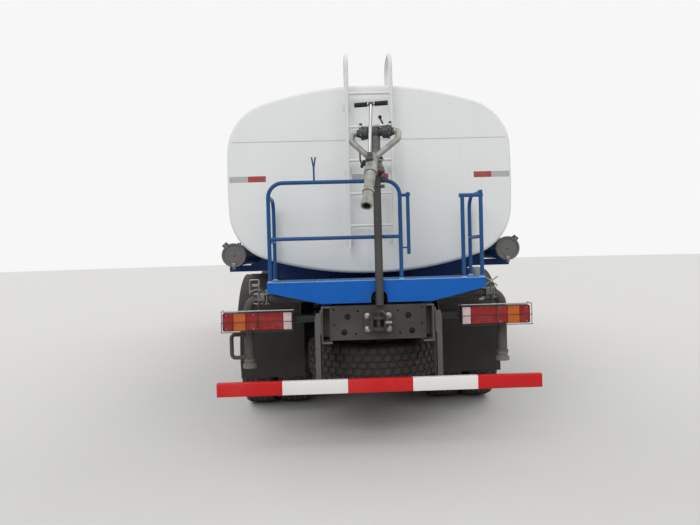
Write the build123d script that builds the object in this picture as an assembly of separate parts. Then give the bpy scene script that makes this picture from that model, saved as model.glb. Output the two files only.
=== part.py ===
from build123d import *
import math
import os

# Water tanker truck, 6x4, cab over engine. Millimetres, X to the right, Y forward, Z up.
# The origin is on the ground under the middle of the truck.

os.makedirs("parts", exist_ok=True)

# Whole truck
half_length = 4600
# The cannon reaches back past the bar, so the middle of the whole lies behind the truck's own
# middle: every piece is drawn about the truck's middle and saved this far forward
origin_shift = 183.6
rear_axle_ys = (-2850, -1500)
front_axle_y = 3100

# Wheels: 12.00R20 tyres
tyre_radius = 561
tyre_half_width = 157
bead_radius = 254
bead_half_width = 104
hand_hole_count = 10
hand_hole_radius = 20
hand_hole_circle = 210
front_tyre_x = 1011
dual_centre_x = 915
dual_half_spacing = 170

# Ladder frame
rail_outer_x = 425
rail_flange = 80
rail_web = 12
rail_bottom = 820
rail_top = 1100
frame_rear_y = -4488
frame_front_y = 4300
crossmember_ys = (-4300, -3200, -2175, -1050, 400, 1600)

# Water tank
tank_rear_y = -4045
tank_length = 6100
tank_half_width = 1180
tank_bottom = 1327
tank_top = 2884
tank_crown_radius = 2900
tank_side_radius = 6000
tank_corner_radius = 420
tank_knuckle = 30
tank_middle_z = (tank_bottom + tank_top) / 2

# Side hose tubes
hose_x = 1155
hose_z = 1505
hose_radius = 90
hose_wall = 6
hose_rear_y = -3950
hose_length = 5850
cap_radius = 101
cap_gap = 2
cap_hinge_tilt = 40
cap_hinge_reach = 116

# Saddles between tank and frame
saddle_ys = (-3700, -2450, -1150, 200, 1650)
saddle_thickness = 70
saddle_base = 1200
outrigger_x = 1235
outrigger_bottom = 1360
outrigger_top = hose_z - hose_radius

# Rear platform and its rails
platform_half_width = 825
platform_rear_y = -4480
platform_front_y = -4060
deck_top = 1290
deck_thickness = 40
skirt_thickness = 8
skirt_low = 1121
skirt_end_low = 1215
skirt_low_half = 420
notch_radius = 63
notch_top = 1216
rail_tube_radius = 15
rail_plane_y = -4465
rail_front_y = -4100
rail_bend = 110
hoop_left_x = -800
hoop_right_x = 190
hoop_top = 2036
hoop_mid = 1615
side_rail_top = 1935
side_rail_mid = 1600
gate_post_xs = (664, 804)
gate_frame_top = 1913
gate_x = 245
gate_y = -4503
gate_top = 1925
gate_bottom = 1480
gate_tube_radius = 13.5
gate_pin_radius = 8
gate_keeper_z = 1530
fork_x = -452
fork_top = 2224

# Riser and water cannon
riser_x = 16
riser_y = -4514
riser_radius = 30
riser_foot = 1105
riser_top = 2095
manifold_y = -4280
manifold_z = 1160
cannon_axis_z = 2390
cannon_yaw = -14
cannon_depression = 53
cannon_merge = 275
cannon_barrel_length = 450
arm_radius = 22
arm_out_x = 188
handle_top_z = 2620
drain_valve_z = 2045
cannon_flange_radius = 62
cannon_lock_z = 2165
housing_radius = 46
housing_top = 2225
neck_radius = 34
neck_bottom = 2262
cross_half = 104
cross_radius = 46
lever_top = 2512

# Spray pipes
spray_x = 1000
spray_radius = 38
spray_bend = 100
spray_outlet_z = 620
spray_flange_radius = 53
spray_bore = 32
spray_bore_depth = 60
outlet_joint_z = 690
feed_joint_y = manifold_y - 62
feed_radius = 28
feed_flange_radius = 50
valve_x = 880
supply_x = -190
pump_y = -560
pump_z = 965
pump_radius = 120
actuator_x = 865
actuator_y = -4010
actuator_radius = 42
actuator_top = 1355

# Ladder
ladder_y = -4122
ladder_tube = 16
ladder_half_top = 178
ladder_half_foot = 185
ladder_foot_z = 1530
ladder_hoop_top = 3130
ladder_hoop_front_y = -3765
rung_zs = (1720, 1980, 2250, 2520, 2790)
rung_radius = 11

# Things behind
bar_half = 1200
bar_bottom = 470
bar_top = 570
bar_depth = 50
lamp_inner_x = 645
lamp_outer_x = 1172
lamp_bottom = 930
lamp_top = 1066
lamp_rear_y = -4450
lamp_depth = 80
plate_half = 362
plate_bottom = 846
plate_top = 1104
plate_thickness = 12
guard_outer_radius = 745
guard_thickness = 18
guard_xs = (640, 1225)
guard_low_z = 835
guard_tube_z = 925
coupling_z = 975
coupling_half = 105
jaw_half = 62
jaw_reach = 60
jaw_thickness = 22
mouth_half = 30
coupling_pin_radius = 15
wire_guard_top = 1083
flap_y = -3540
flap_bottom = 380
spare_y = -3810
spare_z = 620

# Manhole and walkway on the tank
manhole_y = -600
manhole_radius = 250
manhole_rim_top = 2990
lid_radius = 262
top_rail_x = 360
top_rail_z = 3130
top_rail_ys = (-2600, 1500)

# Leaf springs: thickness of a leaf, rise of the arc over the whole spring, and half lengths of the leaves,
# the longest first
rear_leaf = 22
rear_camber = 35
rear_leaf_halves = (730, 640, 520, 400, 280)
rear_spring_seat = 655
front_leaf = 20
front_camber = 40
front_leaf_halves = (790, 700, 560, 400)
front_spring_eye = 660

# Front axle and steering
kingpin_x = 900
kingpin_radius = 20
pin_clearance = 0.3
fist_radius = 42
fist_half = 70
spindle_radius = 45
arm_end_x = 820
arm_end_y = front_axle_y - 220
tie_rod_z = 418
tie_rod_radius = 17
tie_pin_radius = 12
# The tie rod's right pivot is open: its stud stands off the rod by this much
open_pivot_gap = 6
rear_spindle_radius = 55

# Cab
cab_half = 1220
cab_wall = 50
cab_back = 2300
cab_floor = 1200
cab_roof = 2900
cab_front = 4450
door_gap = 8
door_hinge_x = cab_half + 12
door_hinge_y = 4286
door_hinge_zs = (1340, 1780)
hinge_barrel_radius = 11
hinge_pin_radius = 5
tilt_y = 4420
tilt_z = 800
tilt_pin_radius = 20
side_window_zs = (1960, 2580)
side_window_ys = (2480, 3020)
screen_half = 1040
screen_zs = (1930, 2570)
rear_window_half = 520
rear_window_zs = (1960, 2480)

# Front end
bumper_back = 4560
bumper_zs = (420, 900)
headlamp_xs = (800, 1120)
headlamp_zs = (600, 790)
front_guard_radius = 652
front_guard_sheet = 12
front_guard_xs = (700, 1215)
front_guard_top = 1162


def block(xs, ys, zs):
    """Box between pairs of X, Y and Z limits."""
    size = (xs[1] - xs[0], ys[1] - ys[0], zs[1] - zs[0])
    middle = ((xs[0] + xs[1]) / 2, (ys[0] + ys[1]) / 2, (zs[0] + zs[1]) / 2)
    return Pos(*middle) * Box(*size)


def rod(start, end, radius):
    """Round bar from one point to another."""
    along = Vector(*end) - Vector(*start)
    bar = Cylinder(radius, along.length, align=(Align.CENTER, Align.CENTER, Align.MIN))
    return Plane(origin=start, z_dir=along) * bar


def pipe(points, radius, bend):
    """Round tube filled solid along straight runs with round bends."""
    path = FilletPolyline(*points, radius=bend)
    return sweep(Plane(origin=path @ 0, z_dir=path % 0) * Circle(radius), path=path)


def outline_xz(points, y_low, y_high):
    """Outline in X and Z, drawn through from one Y to another."""
    plane = Plane(origin=(0, y_low, 0), x_dir=(1, 0, 0), z_dir=(0, -1, 0))
    return extrude(plane * make_face(Polyline(*points, close=True)), y_high - y_low, dir=(0, 1, 0))


def outline_yz(points, x_low, x_high):
    """Outline in Y and Z, drawn through from one X to another."""
    plane = Plane(origin=(x_low, 0, 0), x_dir=(0, 1, 0), z_dir=(1, 0, 0))
    return extrude(plane * make_face(Polyline(*points, close=True)), x_high - x_low, dir=(1, 0, 0))


def outline_xy(points, z_low, z_high):
    """Outline in X and Y, drawn through from one Z to another."""
    return extrude(Pos(0, 0, z_low) * make_face(Polyline(*points, close=True)), z_high - z_low)


def turned(profile, place):
    """Solid turned about X from (along, radius) points, set at a centre."""
    return Pos(*place) * revolve(Plane.XY * make_face(Polyline(*profile, close=True)), Axis.X)


def both(shape):
    """A shape and its mirror image on the other side of the truck."""
    return [shape, mirror(shape, about=Plane.YZ)]


def joined(shapes):
    """One solid from shapes that overlap or meet."""
    result = shapes[0]
    for shape in shapes[1:]:
        result = result + shape
    return result


def save(name, *shapes):
    """Write one node, made of one or more separate solids."""
    solids = [solid for shape in shapes for solid in shape.solids()]
    solids = [Pos(0, origin_shift, 0) * solid for solid in solids]
    whole = solids[0] if len(solids) == 1 else Compound(children=solids)
    export_step(whole, f"parts/{name}.step")


def tank_outline():
    """Outline of the tank's section, four pairs of tangent arcs."""
    crown_z = tank_top - tank_crown_radius
    side_x = tank_half_width - tank_side_radius
    to_crown = tank_crown_radius - tank_corner_radius
    to_side = tank_side_radius - tank_corner_radius
    # Corner centre: where two circles about the crown's and the side's centres cross
    step = Vector(side_x, tank_middle_z) - Vector(0, crown_z)
    along = (to_crown**2 - to_side**2 + step.length**2) / (2 * step.length)
    across = math.sqrt(to_crown**2 - along**2)
    unit = step.normalized()
    corner = Vector(0, crown_z) + unit * along + Vector(unit.Y, -unit.X) * across
    from_crown = (corner - Vector(0, crown_z)).normalized()
    from_side = (corner - Vector(side_x, tank_middle_z)).normalized()
    high = corner + from_crown * tank_corner_radius
    low = corner + from_side * tank_corner_radius
    middle = corner + (from_crown + from_side).normalized() * tank_corner_radius

    def at(point, x_sign, z_sign):
        return (point.X * x_sign, tank_middle_z + (point.Y - tank_middle_z) * z_sign)

    arcs = []
    for z_sign in (1, -1):
        edge_z = tank_middle_z + (tank_top - tank_middle_z) * z_sign
        arcs.append(ThreePointArc(at(high, -1, z_sign), (0, edge_z), at(high, 1, z_sign)))
        for x_sign in (-1, 1):
            ends = (at(high, x_sign, z_sign), at(middle, x_sign, z_sign), at(low, x_sign, z_sign))
            arcs.append(ThreePointArc(*ends))
    for x_sign in (-1, 1):
        side = (tank_half_width * x_sign, tank_middle_z)
        arcs.append(ThreePointArc(at(low, x_sign, 1), side, at(low, x_sign, -1)))
    plane = Plane(origin=(0, 0, 0), x_dir=(1, 0, 0), z_dir=(0, -1, 0))
    return plane * make_face(arcs)


def make_tank():
    body = extrude(Pos(0, tank_rear_y, 0) * tank_outline(), tank_length, dir=(0, 1, 0))
    rims = body.edges().group_by(Axis.Y)
    body = fillet(list(rims[0]) + list(rims[-1]), tank_knuckle)
    save("tank", body)
    return body


def make_spare_carrier():
    """Centre post, clamp plate over the spare's disc, and a beam up to the frame."""
    post = rod((0, spare_y, spare_z + 16), (0, spare_y, 800), 25)
    washer = rod((0, spare_y, spare_z + 16), (0, spare_y, spare_z + 30), 130)
    beam = block((-345, 345), (spare_y - 40, spare_y + 40), (790, rail_bottom))
    ends = block((345, rail_outer_x), (spare_y - 60, spare_y + 60), (790, rail_bottom))
    return joined([post, washer, beam, *both(ends)])


def make_frame():
    # Channel section, open towards the middle of the truck
    inner = rail_outer_x - rail_web
    low_flange = rail_outer_x - rail_flange
    section = [
        (rail_outer_x, rail_bottom),
        (rail_outer_x, rail_top),
        (low_flange, rail_top),
        (low_flange, rail_top - rail_web),
        (inner, rail_top - rail_web),
        (inner, rail_bottom + rail_web),
        (low_flange, rail_bottom + rail_web),
        (low_flange, rail_bottom),
    ]
    rail = outline_xz(section, frame_rear_y, frame_front_y)
    right, left = both(rail)
    save("frame_rails", right, left)
    members = []
    for y in crossmember_ys:
        beam = block((-inner, inner), (y - 40, y + 40), (850, 1070))
        members.append(beam - block((-inner + 60, inner - 60), (y - 41, y + 20), (862, 1058)))
    save("frame_crossmembers", *members, make_spare_carrier())


def make_end_plate():
    y_back = frame_rear_y - plate_thickness
    plate = block((-plate_half, plate_half), (y_back, frame_rear_y), (plate_bottom, plate_top))
    # X, Z and radius of the holes on the right half
    holes = [
        (228.5, 1020, 24),
        (255, 905, 24),
        (332, 1078, 8),
        (332, 960, 8),
        (150, 1060, 8),
        (165, 890, 8),
    ]
    for x, z, radius in holes:
        for side in (-1, 1):
            plate -= rod((side * x, y_back - 1, z), (side * x, frame_rear_y + 1, z), radius)
    return plate


def make_tow_coupling():
    face = frame_rear_y - plate_thickness
    z = coupling_z
    jaw_z = mouth_half + jaw_thickness
    base = block((-coupling_half, coupling_half), (face - 18, face), (z - 68, z + 68))
    jaws = []
    for low, high in ((z - jaw_z, z - mouth_half), (z + mouth_half, z + jaw_z)):
        jaw = block((-jaw_half, jaw_half), (face - jaw_reach, face - 18), (low, high))
        jaw += rod((0, face - 50, low), (0, face - 50, high), 46)
        jaws.append(jaw)
    throat = block((-jaw_half, -40), (face - 55, face - 18), (z - mouth_half, z + mouth_half))
    pin = rod((0, face - 58, z - 62), (0, face - 58, z + 92), coupling_pin_radius)
    knob = rod((0, face - 58, z + 78), (0, face - 58, z + 92), 24)
    whole = joined([base, *jaws, throat, mirror(throat, about=Plane.YZ), pin, knob])
    for x in (-80, 80):
        for bolt_z in (z - 50, z + 50):
            whole += rod((x, face - 30, bolt_z), (x, face - 18, bolt_z), 13)
    save("frame_end_plate", make_end_plate() + whole)


def make_underrun():
    rear = -half_length
    bar = block((-bar_half, bar_half), (rear, rear + bar_depth), (bar_bottom, bar_top))
    front = rear + bar_depth
    side = [
        (front, bar_bottom + 8),
        (front + 62, bar_bottom + 8),
        (front + 210, 830),
        (front + 210, 1075),
        (front + 30, 1075),
        (front, 900),
    ]
    web = outline_yz(side, rail_outer_x, rail_outer_x + 10)
    flange = block((rail_outer_x, rail_outer_x + 48), (front, front + 8), (bar_bottom + 8, 1060))
    save("underrun_bar", joined([bar, *both(web + flange)]))


def make_tail_lamps():
    lamps = []
    front = lamp_rear_y + lamp_depth
    housing = block((lamp_inner_x, lamp_outer_x), (lamp_rear_y, front), (lamp_bottom, lamp_top))
    housing = chamfer(housing.edges().group_by(Axis.Y)[0], 6)
    lamps.extend(both(housing))
    save("tail_lamps", *lamps)
    arm = block((rail_outer_x + 10, 1140), (front, front + 34), (972, 1022))
    wires = []
    guard_y = lamp_rear_y - 26
    top_z = wire_guard_top
    wires.append(rod((lamp_inner_x - 12, guard_y, top_z), (lamp_outer_x + 20, guard_y, top_z), 5))
    for x in (lamp_inner_x - 6, 905, lamp_outer_x + 14):
        wires.append(rod((x, guard_y, top_z), (x, guard_y, lamp_bottom - 14), 4))
    for z in (lamp_bottom - 14, 998):
        wires.append(rod((lamp_inner_x - 12, guard_y, z), (lamp_outer_x + 20, guard_y, z), 4))
    for x in (lamp_inner_x - 12, lamp_outer_x + 20):
        wires.append(rod((x, guard_y, top_z), (x, front + 17, top_z), 5))
    back = block((lamp_inner_x - 17, lamp_outer_x + 25), (front, front + 12), (1000, 1088))
    guard = joined([back, arm, *wires])
    save("lamp_guards", *both(guard))


def make_mudguards():
    sheets = None
    cuts = []
    inner_x, outer_x = guard_xs
    for y in rear_axle_ys:
        ring = rod((inner_x, y, tyre_radius), (outer_x, y, tyre_radius), guard_outer_radius)
        reach = ((inner_x - 10, y, tyre_radius), (outer_x + 10, y, tyre_radius))
        cuts.append(rod(*reach, guard_outer_radius - guard_thickness))
        sheets = ring if sheets is None else sheets + ring
    for cut in cuts:
        sheets -= cut
    sheets -= block((600, 1300), (-4000, 100), (-400, guard_low_z))
    # Cross tubes that carry the sheets from the frame: Y, Z and the inner end
    tubes = []
    places = (
        (-3512, guard_tube_z, rail_outer_x),
        (sum(rear_axle_ys) / 2, 862, rail_outer_x + 14),
        (-842, guard_tube_z, rail_outer_x),
    )
    for y, z, start_x in places:
        tubes.append(rod((start_x, y, z), (outer_x - 3, y, z), 19))
    flap = block((610, 1195), (flap_y - 5, flap_y + 5), (flap_bottom, 912))
    hem = block((640, 1195), (flap_y + 5, flap_y + 24), (845, 905))
    save("rear_mudguards", *both(joined([sheets, *tubes, flap, hem])))


def tyre_profile(centre):
    """Half of a tyre's section in (along, radius) points, from bead to bead."""
    steps = [
        (bead_half_width, bead_radius),
        (bead_half_width, 274),
        (138, 318),
        (tyre_half_width, 400),
        (148, 492),
        (120, 548),
        (60, tyre_radius),
    ]
    right = [(centre + along, radius) for along, radius in steps]
    left = [(centre - along, radius) for along, radius in reversed(steps)]
    return right + left


def with_hand_holes(rim, centre, reach):
    """A wheel's disc with its ring of round hand holes, cut along X."""
    for number in range(hand_hole_count):
        angle = math.radians((number + 0.5) * 360 / hand_hole_count)
        y = centre[1] + hand_hole_circle * math.cos(angle)
        z = centre[2] + hand_hole_circle * math.sin(angle)
        rim -= rod((centre[0] + reach[0], y, z), (centre[0] + reach[1], y, z), hand_hole_radius)
    return rim


def make_rear_wheels():
    # Along from the middle between the twin tyres, and radius
    disc_and_hub = [
        (-282, bead_radius),
        (-58, bead_radius),
        (-58, 236),
        (0, 196),
        (58, 236),
        (58, bead_radius),
        (274, bead_radius),
        (274, 272),
        (282, 272),
        (282, 242),
        (86, 234),
        (18, 186),
        (18, 150),
        (40, 150),
        (48, 118),
        (150, 112),
        (170, 92),
        (170, 0),
        (140, 0),
        (140, rear_spindle_radius + pin_clearance),
        (-130, rear_spindle_radius + pin_clearance),
        (-130, 118),
        (-18, 118),
        (-18, 186),
        (-86, 234),
        (-282, 242),
    ]
    names = ("rear", "middle")
    for name, y in zip(names, rear_axle_ys):
        centre = (dual_centre_x, y, tyre_radius)
        hub = with_hand_holes(turned(disc_and_hub, centre), centre, (-100, 100))
        tyres = [turned(tyre_profile(side * dual_half_spacing), centre) for side in (-1, 1)]
        save(f"{name}_rims_right", hub)
        save(f"{name}_rims_left", mirror(hub, about=Plane.YZ))
        save(f"{name}_tyres_right", *tyres)
        save(f"{name}_tyres_left", *[mirror(tyre, about=Plane.YZ) for tyre in tyres])


def make_front_wheels():
    profile = [
        (-112, 272),
        (-104, 272),
        (-104, bead_radius),
        (104, bead_radius),
        (104, 272),
        (112, 272),
        (112, 242),
        (60, 234),
        (60, 200),
        (94, 150),
        (94, 108),
        (142, 92),
        (142, 0),
        (84, 0),
        (84, spindle_radius + pin_clearance),
        (-40, spindle_radius + pin_clearance),
        (-40, 110),
        (74, 110),
        (74, 145),
        (46, 192),
        (46, 234),
        (-112, 242),
    ]
    centre = (front_tyre_x, front_axle_y, tyre_radius)
    rim = with_hand_holes(turned(profile, centre), centre, (30, 80))
    tyre = turned(tyre_profile(0), centre)
    save("front_rim_right", rim)
    save("front_rim_left", mirror(rim, about=Plane.YZ))
    save("front_tyre_right", tyre)
    save("front_tyre_left", mirror(tyre, about=Plane.YZ))


def make_spare():
    rim_profile = [
        (-112, 272),
        (-104, 272),
        (-104, bead_radius),
        (104, bead_radius),
        (104, 272),
        (112, 272),
        (112, 242),
        (16, 232),
        (16, 90),
        (0, 90),
        (0, 222),
        (-112, 242),
    ]
    upright = Pos(0, spare_y, spare_z) * Rot(0, -90, 0)
    save("spare_tyre", upright * turned(tyre_profile(0), (0, 0, 0)))
    rim = with_hand_holes(turned(rim_profile, (0, 0, 0)), (0, 0, 0), (-20, 30))
    save("spare_rim", upright * rim)


def make_rear_axles():
    axles = []
    for y in rear_axle_ys:
        centre = Vector(0, y, tyre_radius)
        tube = rod((-700, y, tyre_radius), (700, y, tyre_radius), 72)
        banjo = Pos(*centre) * Rot(90, 0, 0) * Cylinder(190, 150)
        nose = rod((0, y + 60, tyre_radius + 30), (0, y + 240, tyre_radius + 30), 95)
        axle = joined([tube, banjo, nose])
        for side in (-1, 1):
            axle += rod((side * 642, y, tyre_radius), (side * 762, y, tyre_radius), 200)
            axle += rod((side * 762, y, tyre_radius), (side * 1050, y, tyre_radius), rear_spindle_radius)
            seat_zs = (tyre_radius, rear_spring_seat)
            axle += block(sorted((side * 440, side * 540)), (y - 60, y + 60), seat_zs)
        axles.append(axle)
    save("rear_axles", *axles)


def leaf(xs, middle_y, centre_z, radii, half, way):
    """Spring leaf: a stretch of flat ring about an axis along X, above its centre or below it."""
    def at(radius, angle):
        return (middle_y + radius * math.sin(angle), centre_z + way * radius * math.cos(angle))

    swing = half / radii[0]
    inner = [at(radii[0], angle) for angle in (-swing, 0, swing)]
    outer = [at(radii[1], angle) for angle in (swing, 0, -swing)]
    edges = [ThreePointArc(*inner), Line(inner[2], outer[0]), ThreePointArc(*outer), Line(outer[2], inner[0])]
    plane = Plane(origin=(xs[0], 0, 0), x_dir=(0, 1, 0), z_dir=(1, 0, 0))
    return extrude(plane * make_face(edges), xs[1] - xs[0], dir=(1, 0, 0))


def make_rear_springs():
    middle = sum(rear_axle_ys) / 2
    # The springs lie upside down on the axles: the longest leaf is the lowest and all rise to the middle
    arc_radius = (rear_leaf_halves[0] ** 2 + rear_camber**2) / (2 * rear_camber)
    centre_z = rear_spring_seat + rear_camber - arc_radius
    leaves = []
    for number, half in enumerate(rear_leaf_halves):
        radii = (arc_radius + number * rear_leaf, arc_radius + (number + 1) * rear_leaf)
        leaves.append(leaf((445, 535), middle, centre_z, radii, half, 1))
    clamp = block((436, 544), (middle - 90, middle + 90), (600, 835))
    trunnion = rod((345, middle, 690), (560, middle, 690), 62)
    hanger = block((rail_outer_x, rail_outer_x + 14), (middle - 160, middle + 160), (700, 1060))
    return both(joined([*leaves, clamp, trunnion, hanger]))


def make_front_axle():
    # Drop beam: X and Z on the right half, from the middle out
    lower = [(0, 360), (480, 360), (700, 440), (820, 500), (870, 505)]
    upper = [(870, 617), (800, 612), (560, 520), (470, 480), (0, 480)]
    points = lower + upper + [(-x, z) for x, z in reversed(upper[:-1])]
    points += [(-x, z) for x, z in reversed(lower[1:])]
    beam = outline_xz(points, front_axle_y - 42, front_axle_y + 42)
    for side in (-1, 1):
        x = side * kingpin_x
        low, high = tyre_radius - fist_half, tyre_radius + fist_half
        beam += rod((x, front_axle_y, low), (x, front_axle_y, high), fist_radius)
        pin = ((x, front_axle_y, low - 40), (x, front_axle_y, high + 40))
        beam += rod(*pin, kingpin_radius)
    save("front_axle", beam)


def make_knuckles():
    y = front_axle_y
    ear_gap = 5
    bore = kingpin_radius + pin_clearance
    low = tyre_radius - fist_half - ear_gap
    high = tyre_radius + fist_half + ear_gap
    ears = rod((kingpin_x, y, low - 30), (kingpin_x, y, low), 45)
    ears += rod((kingpin_x, y, high), (kingpin_x, y, high + 30), 45)
    ears += block((kingpin_x, 966), (y - 45, y + 45), (low - 30, low))
    ears += block((kingpin_x, 966), (y - 45, y + 45), (high, high + 30))
    ears += block((952, 966), (y - 55, y + 55), (low - 30, high + 30))
    spindle = rod((960, y, tyre_radius), (front_tyre_x + 80, y, tyre_radius), spindle_radius)
    # Steering arm: back and inwards to the tie rod's eye
    arm = outline_xy(
        [(880, y - 30), (930, y - 30), (arm_end_x + 22, arm_end_y - 8), (arm_end_x - 22, arm_end_y + 8)],
        low - 30,
        low - 6,
    )
    eye = rod((arm_end_x, arm_end_y, low - 30), (arm_end_x, arm_end_y, low - 6), 26)
    right = joined([ears, spindle, arm, eye])
    right -= rod((kingpin_x, y, low - 40), (kingpin_x, y, high + 60), bore)
    left = mirror(right, about=Plane.YZ)
    pin_hole = tie_pin_radius + pin_clearance
    left -= rod((-arm_end_x, arm_end_y, low - 40), (-arm_end_x, arm_end_y, low), pin_hole)
    # The right eye keeps its stud, which ends just above the tie rod's head
    rod_top = tie_rod_z + tie_rod_radius
    stud_end = rod_top + 10 + open_pivot_gap
    right += rod((arm_end_x, arm_end_y, stud_end), (arm_end_x, arm_end_y, low - 2), tie_pin_radius)
    save("knuckle_right", right)
    save("knuckle_left", left)
    track = rod((-arm_end_x, arm_end_y, tie_rod_z), (arm_end_x, arm_end_y, tie_rod_z), tie_rod_radius)
    for x in (-arm_end_x, arm_end_x):
        track += rod((x, arm_end_y, tie_rod_z - 22), (x, arm_end_y, rod_top + 3), 25)
    track += rod((arm_end_x, arm_end_y, tie_rod_z), (arm_end_x, arm_end_y, rod_top + 10), 15)
    track += rod((-arm_end_x, arm_end_y, tie_rod_z), (-arm_end_x, arm_end_y, low - 8), tie_pin_radius)
    save("tie_rod", track)


def make_front_springs():
    y = front_axle_y
    reach = front_leaf_halves[0]
    arc_radius = (reach**2 + front_camber**2) / (2 * front_camber)
    centre_z = front_spring_eye - front_camber + arc_radius
    leaves = []
    for number, half in enumerate(front_leaf_halves):
        radii = (arc_radius + number * front_leaf, arc_radius + (number + 1) * front_leaf)
        leaves.append(leaf((382, 458), y, centre_z, radii, half, -1))
    saddle = block((376, 464), (y - 75, y + 75), (480, 640))
    hangers = []
    eye_z = front_spring_eye - front_leaf / 2
    for end in (-reach, reach):
        eye = rod((378, y + end, eye_z), (462, y + end, eye_z), 34)
        hanger = block((rail_outer_x, rail_outer_x + 12), (y + end - 60, y + end + 60), (640, 1040))
        hangers.extend([eye, hanger])
    save("leaf_springs", *both(joined([*leaves, saddle, *hangers])), *make_rear_springs())


def make_intake_stack():
    """Air intake behind the cab, on a bracket from the right frame rail."""
    stack = block((760, 1080), (2100, 2262), (1230, 2760))
    stack = fillet(stack.edges().filter_by(Axis.Z), 30)
    stack += block((rail_outer_x - 60, 800), (2140, 2230), (1230, 1290))
    return stack + block((rail_outer_x - 60, rail_outer_x), (2140, 2230), (rail_top, 1230))


def make_driveline():
    z = 765
    nose_z = tyre_radius + 30
    shaft = pipe([(0, -1260, nose_z), (0, -1210, nose_z), (0, 250, z), (0, 1690, z)], 45, 120)
    shaft += block((-60, 60), (390, 450), (z, 850))
    between_axles = rod((0, -2610, nose_z), (0, -1690, nose_z), 40)
    engine = block((-330, 330), (2560, 3940), (700, 1420))
    sump = block((-200, 200), (2600, 3900), (560, 700))
    gearbox = block((-220, 220), (1990, 2560), (640, 1060))
    gearbox += rod((0, 1690, z), (0, 1990, z), 120)
    engine = chamfer((engine + sump).edges().filter_by(Axis.Y), 25) + gearbox + shaft
    radiator = block((-335, 335), (4040, 4140), (560, 1170))
    save("engine_and_shafts", engine, between_axles, radiator, make_intake_stack())


def make_side_equipment():
    fuel = block((rail_outer_x + 35, 1120), (700, 1720), (500, 1080))
    fuel = fillet(fuel.edges().filter_by(Axis.Y), 90)
    fuel += rod((1060, 1500, 1060), (1060, 1500, 1105), 42)
    straps = []
    for y in (860, 1400):
        straps.append(block((rail_outer_x, rail_outer_x + 35), (y - 40, y + 40), (560, 1060)))
        band = block((rail_outer_x + 29, 1126), (y - 25, y + 25), (494, 1086))
        straps.append(fillet(band.edges().filter_by(Axis.Y), 96))
    save("fuel_tank", joined([fuel, *straps]))
    box_body = block((-1110, -470), (1060, 1700), (540, 900))
    box_body += block((-1118, -462), (1052, 1708), (900, 950))
    box_body += block((-470, -rail_outer_x), (1120, 1640), (840, 1040))
    air = []
    for z in (600, 850):
        tank = rod((-620, -450, z), (-620, 900, z), 112)
        air.append(fillet(tank.edges(), 30))
    straps = [block((-640, -rail_outer_x), (y, y + 60), (480, 980)) for y in (-60, 500)]
    save("battery_and_air_tanks", box_body, joined([*air, *straps]))
    silencer = fillet(rod((-1080, 2010, 720), (-480, 2010, 720), 205).edges(), 40)
    silencer += block((-520, -rail_outer_x), (1930, 2090), (780, 1000))
    silencer += pipe([(-900, 2010, 560), (-900, 2010, 440), (-1120, 1900, 400)], 55, 70)
    save("exhaust", silencer)


def make_side_guards():
    rails = []
    for z in (560, 740, 920):
        rails.append(block((1195, 1222), (-620, 2180), (z, z + 70)))
    for y in (saddle_ys[3], saddle_ys[4]):
        rails.append(block((1150, 1195), (y - 30, y + 30), (545, outrigger_bottom)))
    save("side_guards", *both(joined(rails)))


def make_saddles(tank):
    plates = []
    for y in saddle_ys:
        shape = [
            (-outrigger_x, outrigger_bottom),
            (-900, outrigger_bottom),
            (-560, saddle_base),
            (560, saddle_base),
            (900, outrigger_bottom),
            (outrigger_x, outrigger_bottom),
            (outrigger_x, outrigger_top),
            (1010, outrigger_top),
            (900, 1520),
            (-900, 1520),
            (-1010, outrigger_top),
            (-outrigger_x, outrigger_top),
        ]
        plates.append(outline_xz(shape, y - saddle_thickness / 2, y + saddle_thickness / 2))
    beam = block((rail_outer_x - rail_flange, rail_outer_x), (-3990, 2000), (rail_top, saddle_base))
    save("tank_saddles", joined([*[plate - tank for plate in plates], *both(beam)]))


def make_hose_tubes():
    tubes = []
    front = hose_rear_y + hose_length
    tube = rod((hose_x, hose_rear_y, hose_z), (hose_x, front, hose_z), hose_radius)
    tube -= rod((hose_x, hose_rear_y - 1, hose_z), (hose_x, front - 10, hose_z), hose_radius - hose_wall)
    lean = math.radians(cap_hinge_tilt)
    out = Vector(math.sin(lean), 0, math.cos(lean))
    across = Vector(math.cos(lean), 0, -math.sin(lean))
    pin_y = hose_rear_y - 4
    centre = Vector(hose_x, pin_y, hose_z)
    eye = centre + out * cap_hinge_reach
    # Two lugs on the tube hold the pin, and the cap's lug turns between them
    for side in (-1, 1):
        lug = Plane(origin=eye + across * side * 18, x_dir=(0, 1, 0), z_dir=across) * Cylinder(13, 9)
        foot = Plane(
            origin=centre + Vector(0, 22, 0) + out * (hose_radius + 12) + across * side * 18,
            x_dir=(0, 1, 0),
            z_dir=across,
        ) * Box(34, 27, 9)
        tube += lug + foot
    tube += Plane(origin=eye, x_dir=(0, 1, 0), z_dir=across) * Cylinder(6, 45)
    tubes.extend(both(tube))
    save("hose_tubes", *tubes)
    back = hose_rear_y - cap_gap
    cap = rod((hose_x, back - 22, hose_z), (hose_x, back, hose_z), cap_radius)
    cap -= rod((hose_x, back - 23, hose_z), (hose_x, back - 14, hose_z), cap_radius - 16)
    arm = Plane(origin=centre + Vector(0, -9, 0) + out * 98, x_dir=(0, 1, 0), z_dir=across) * Box(20, 36, 22)
    cap += arm
    cap += Plane(origin=eye, x_dir=(0, 1, 0), z_dir=across) * Cylinder(13, 22)
    cap += block((hose_x - 12, hose_x + 12), (back - 30, back - 8), (hose_z - 118, hose_z - 84))
    cap -= Plane(origin=eye, x_dir=(0, 1, 0), z_dir=across) * Cylinder(6 + pin_clearance, 60)
    save("hose_cap_right", cap)
    save("hose_cap_left", mirror(cap, about=Plane.YZ))


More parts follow.
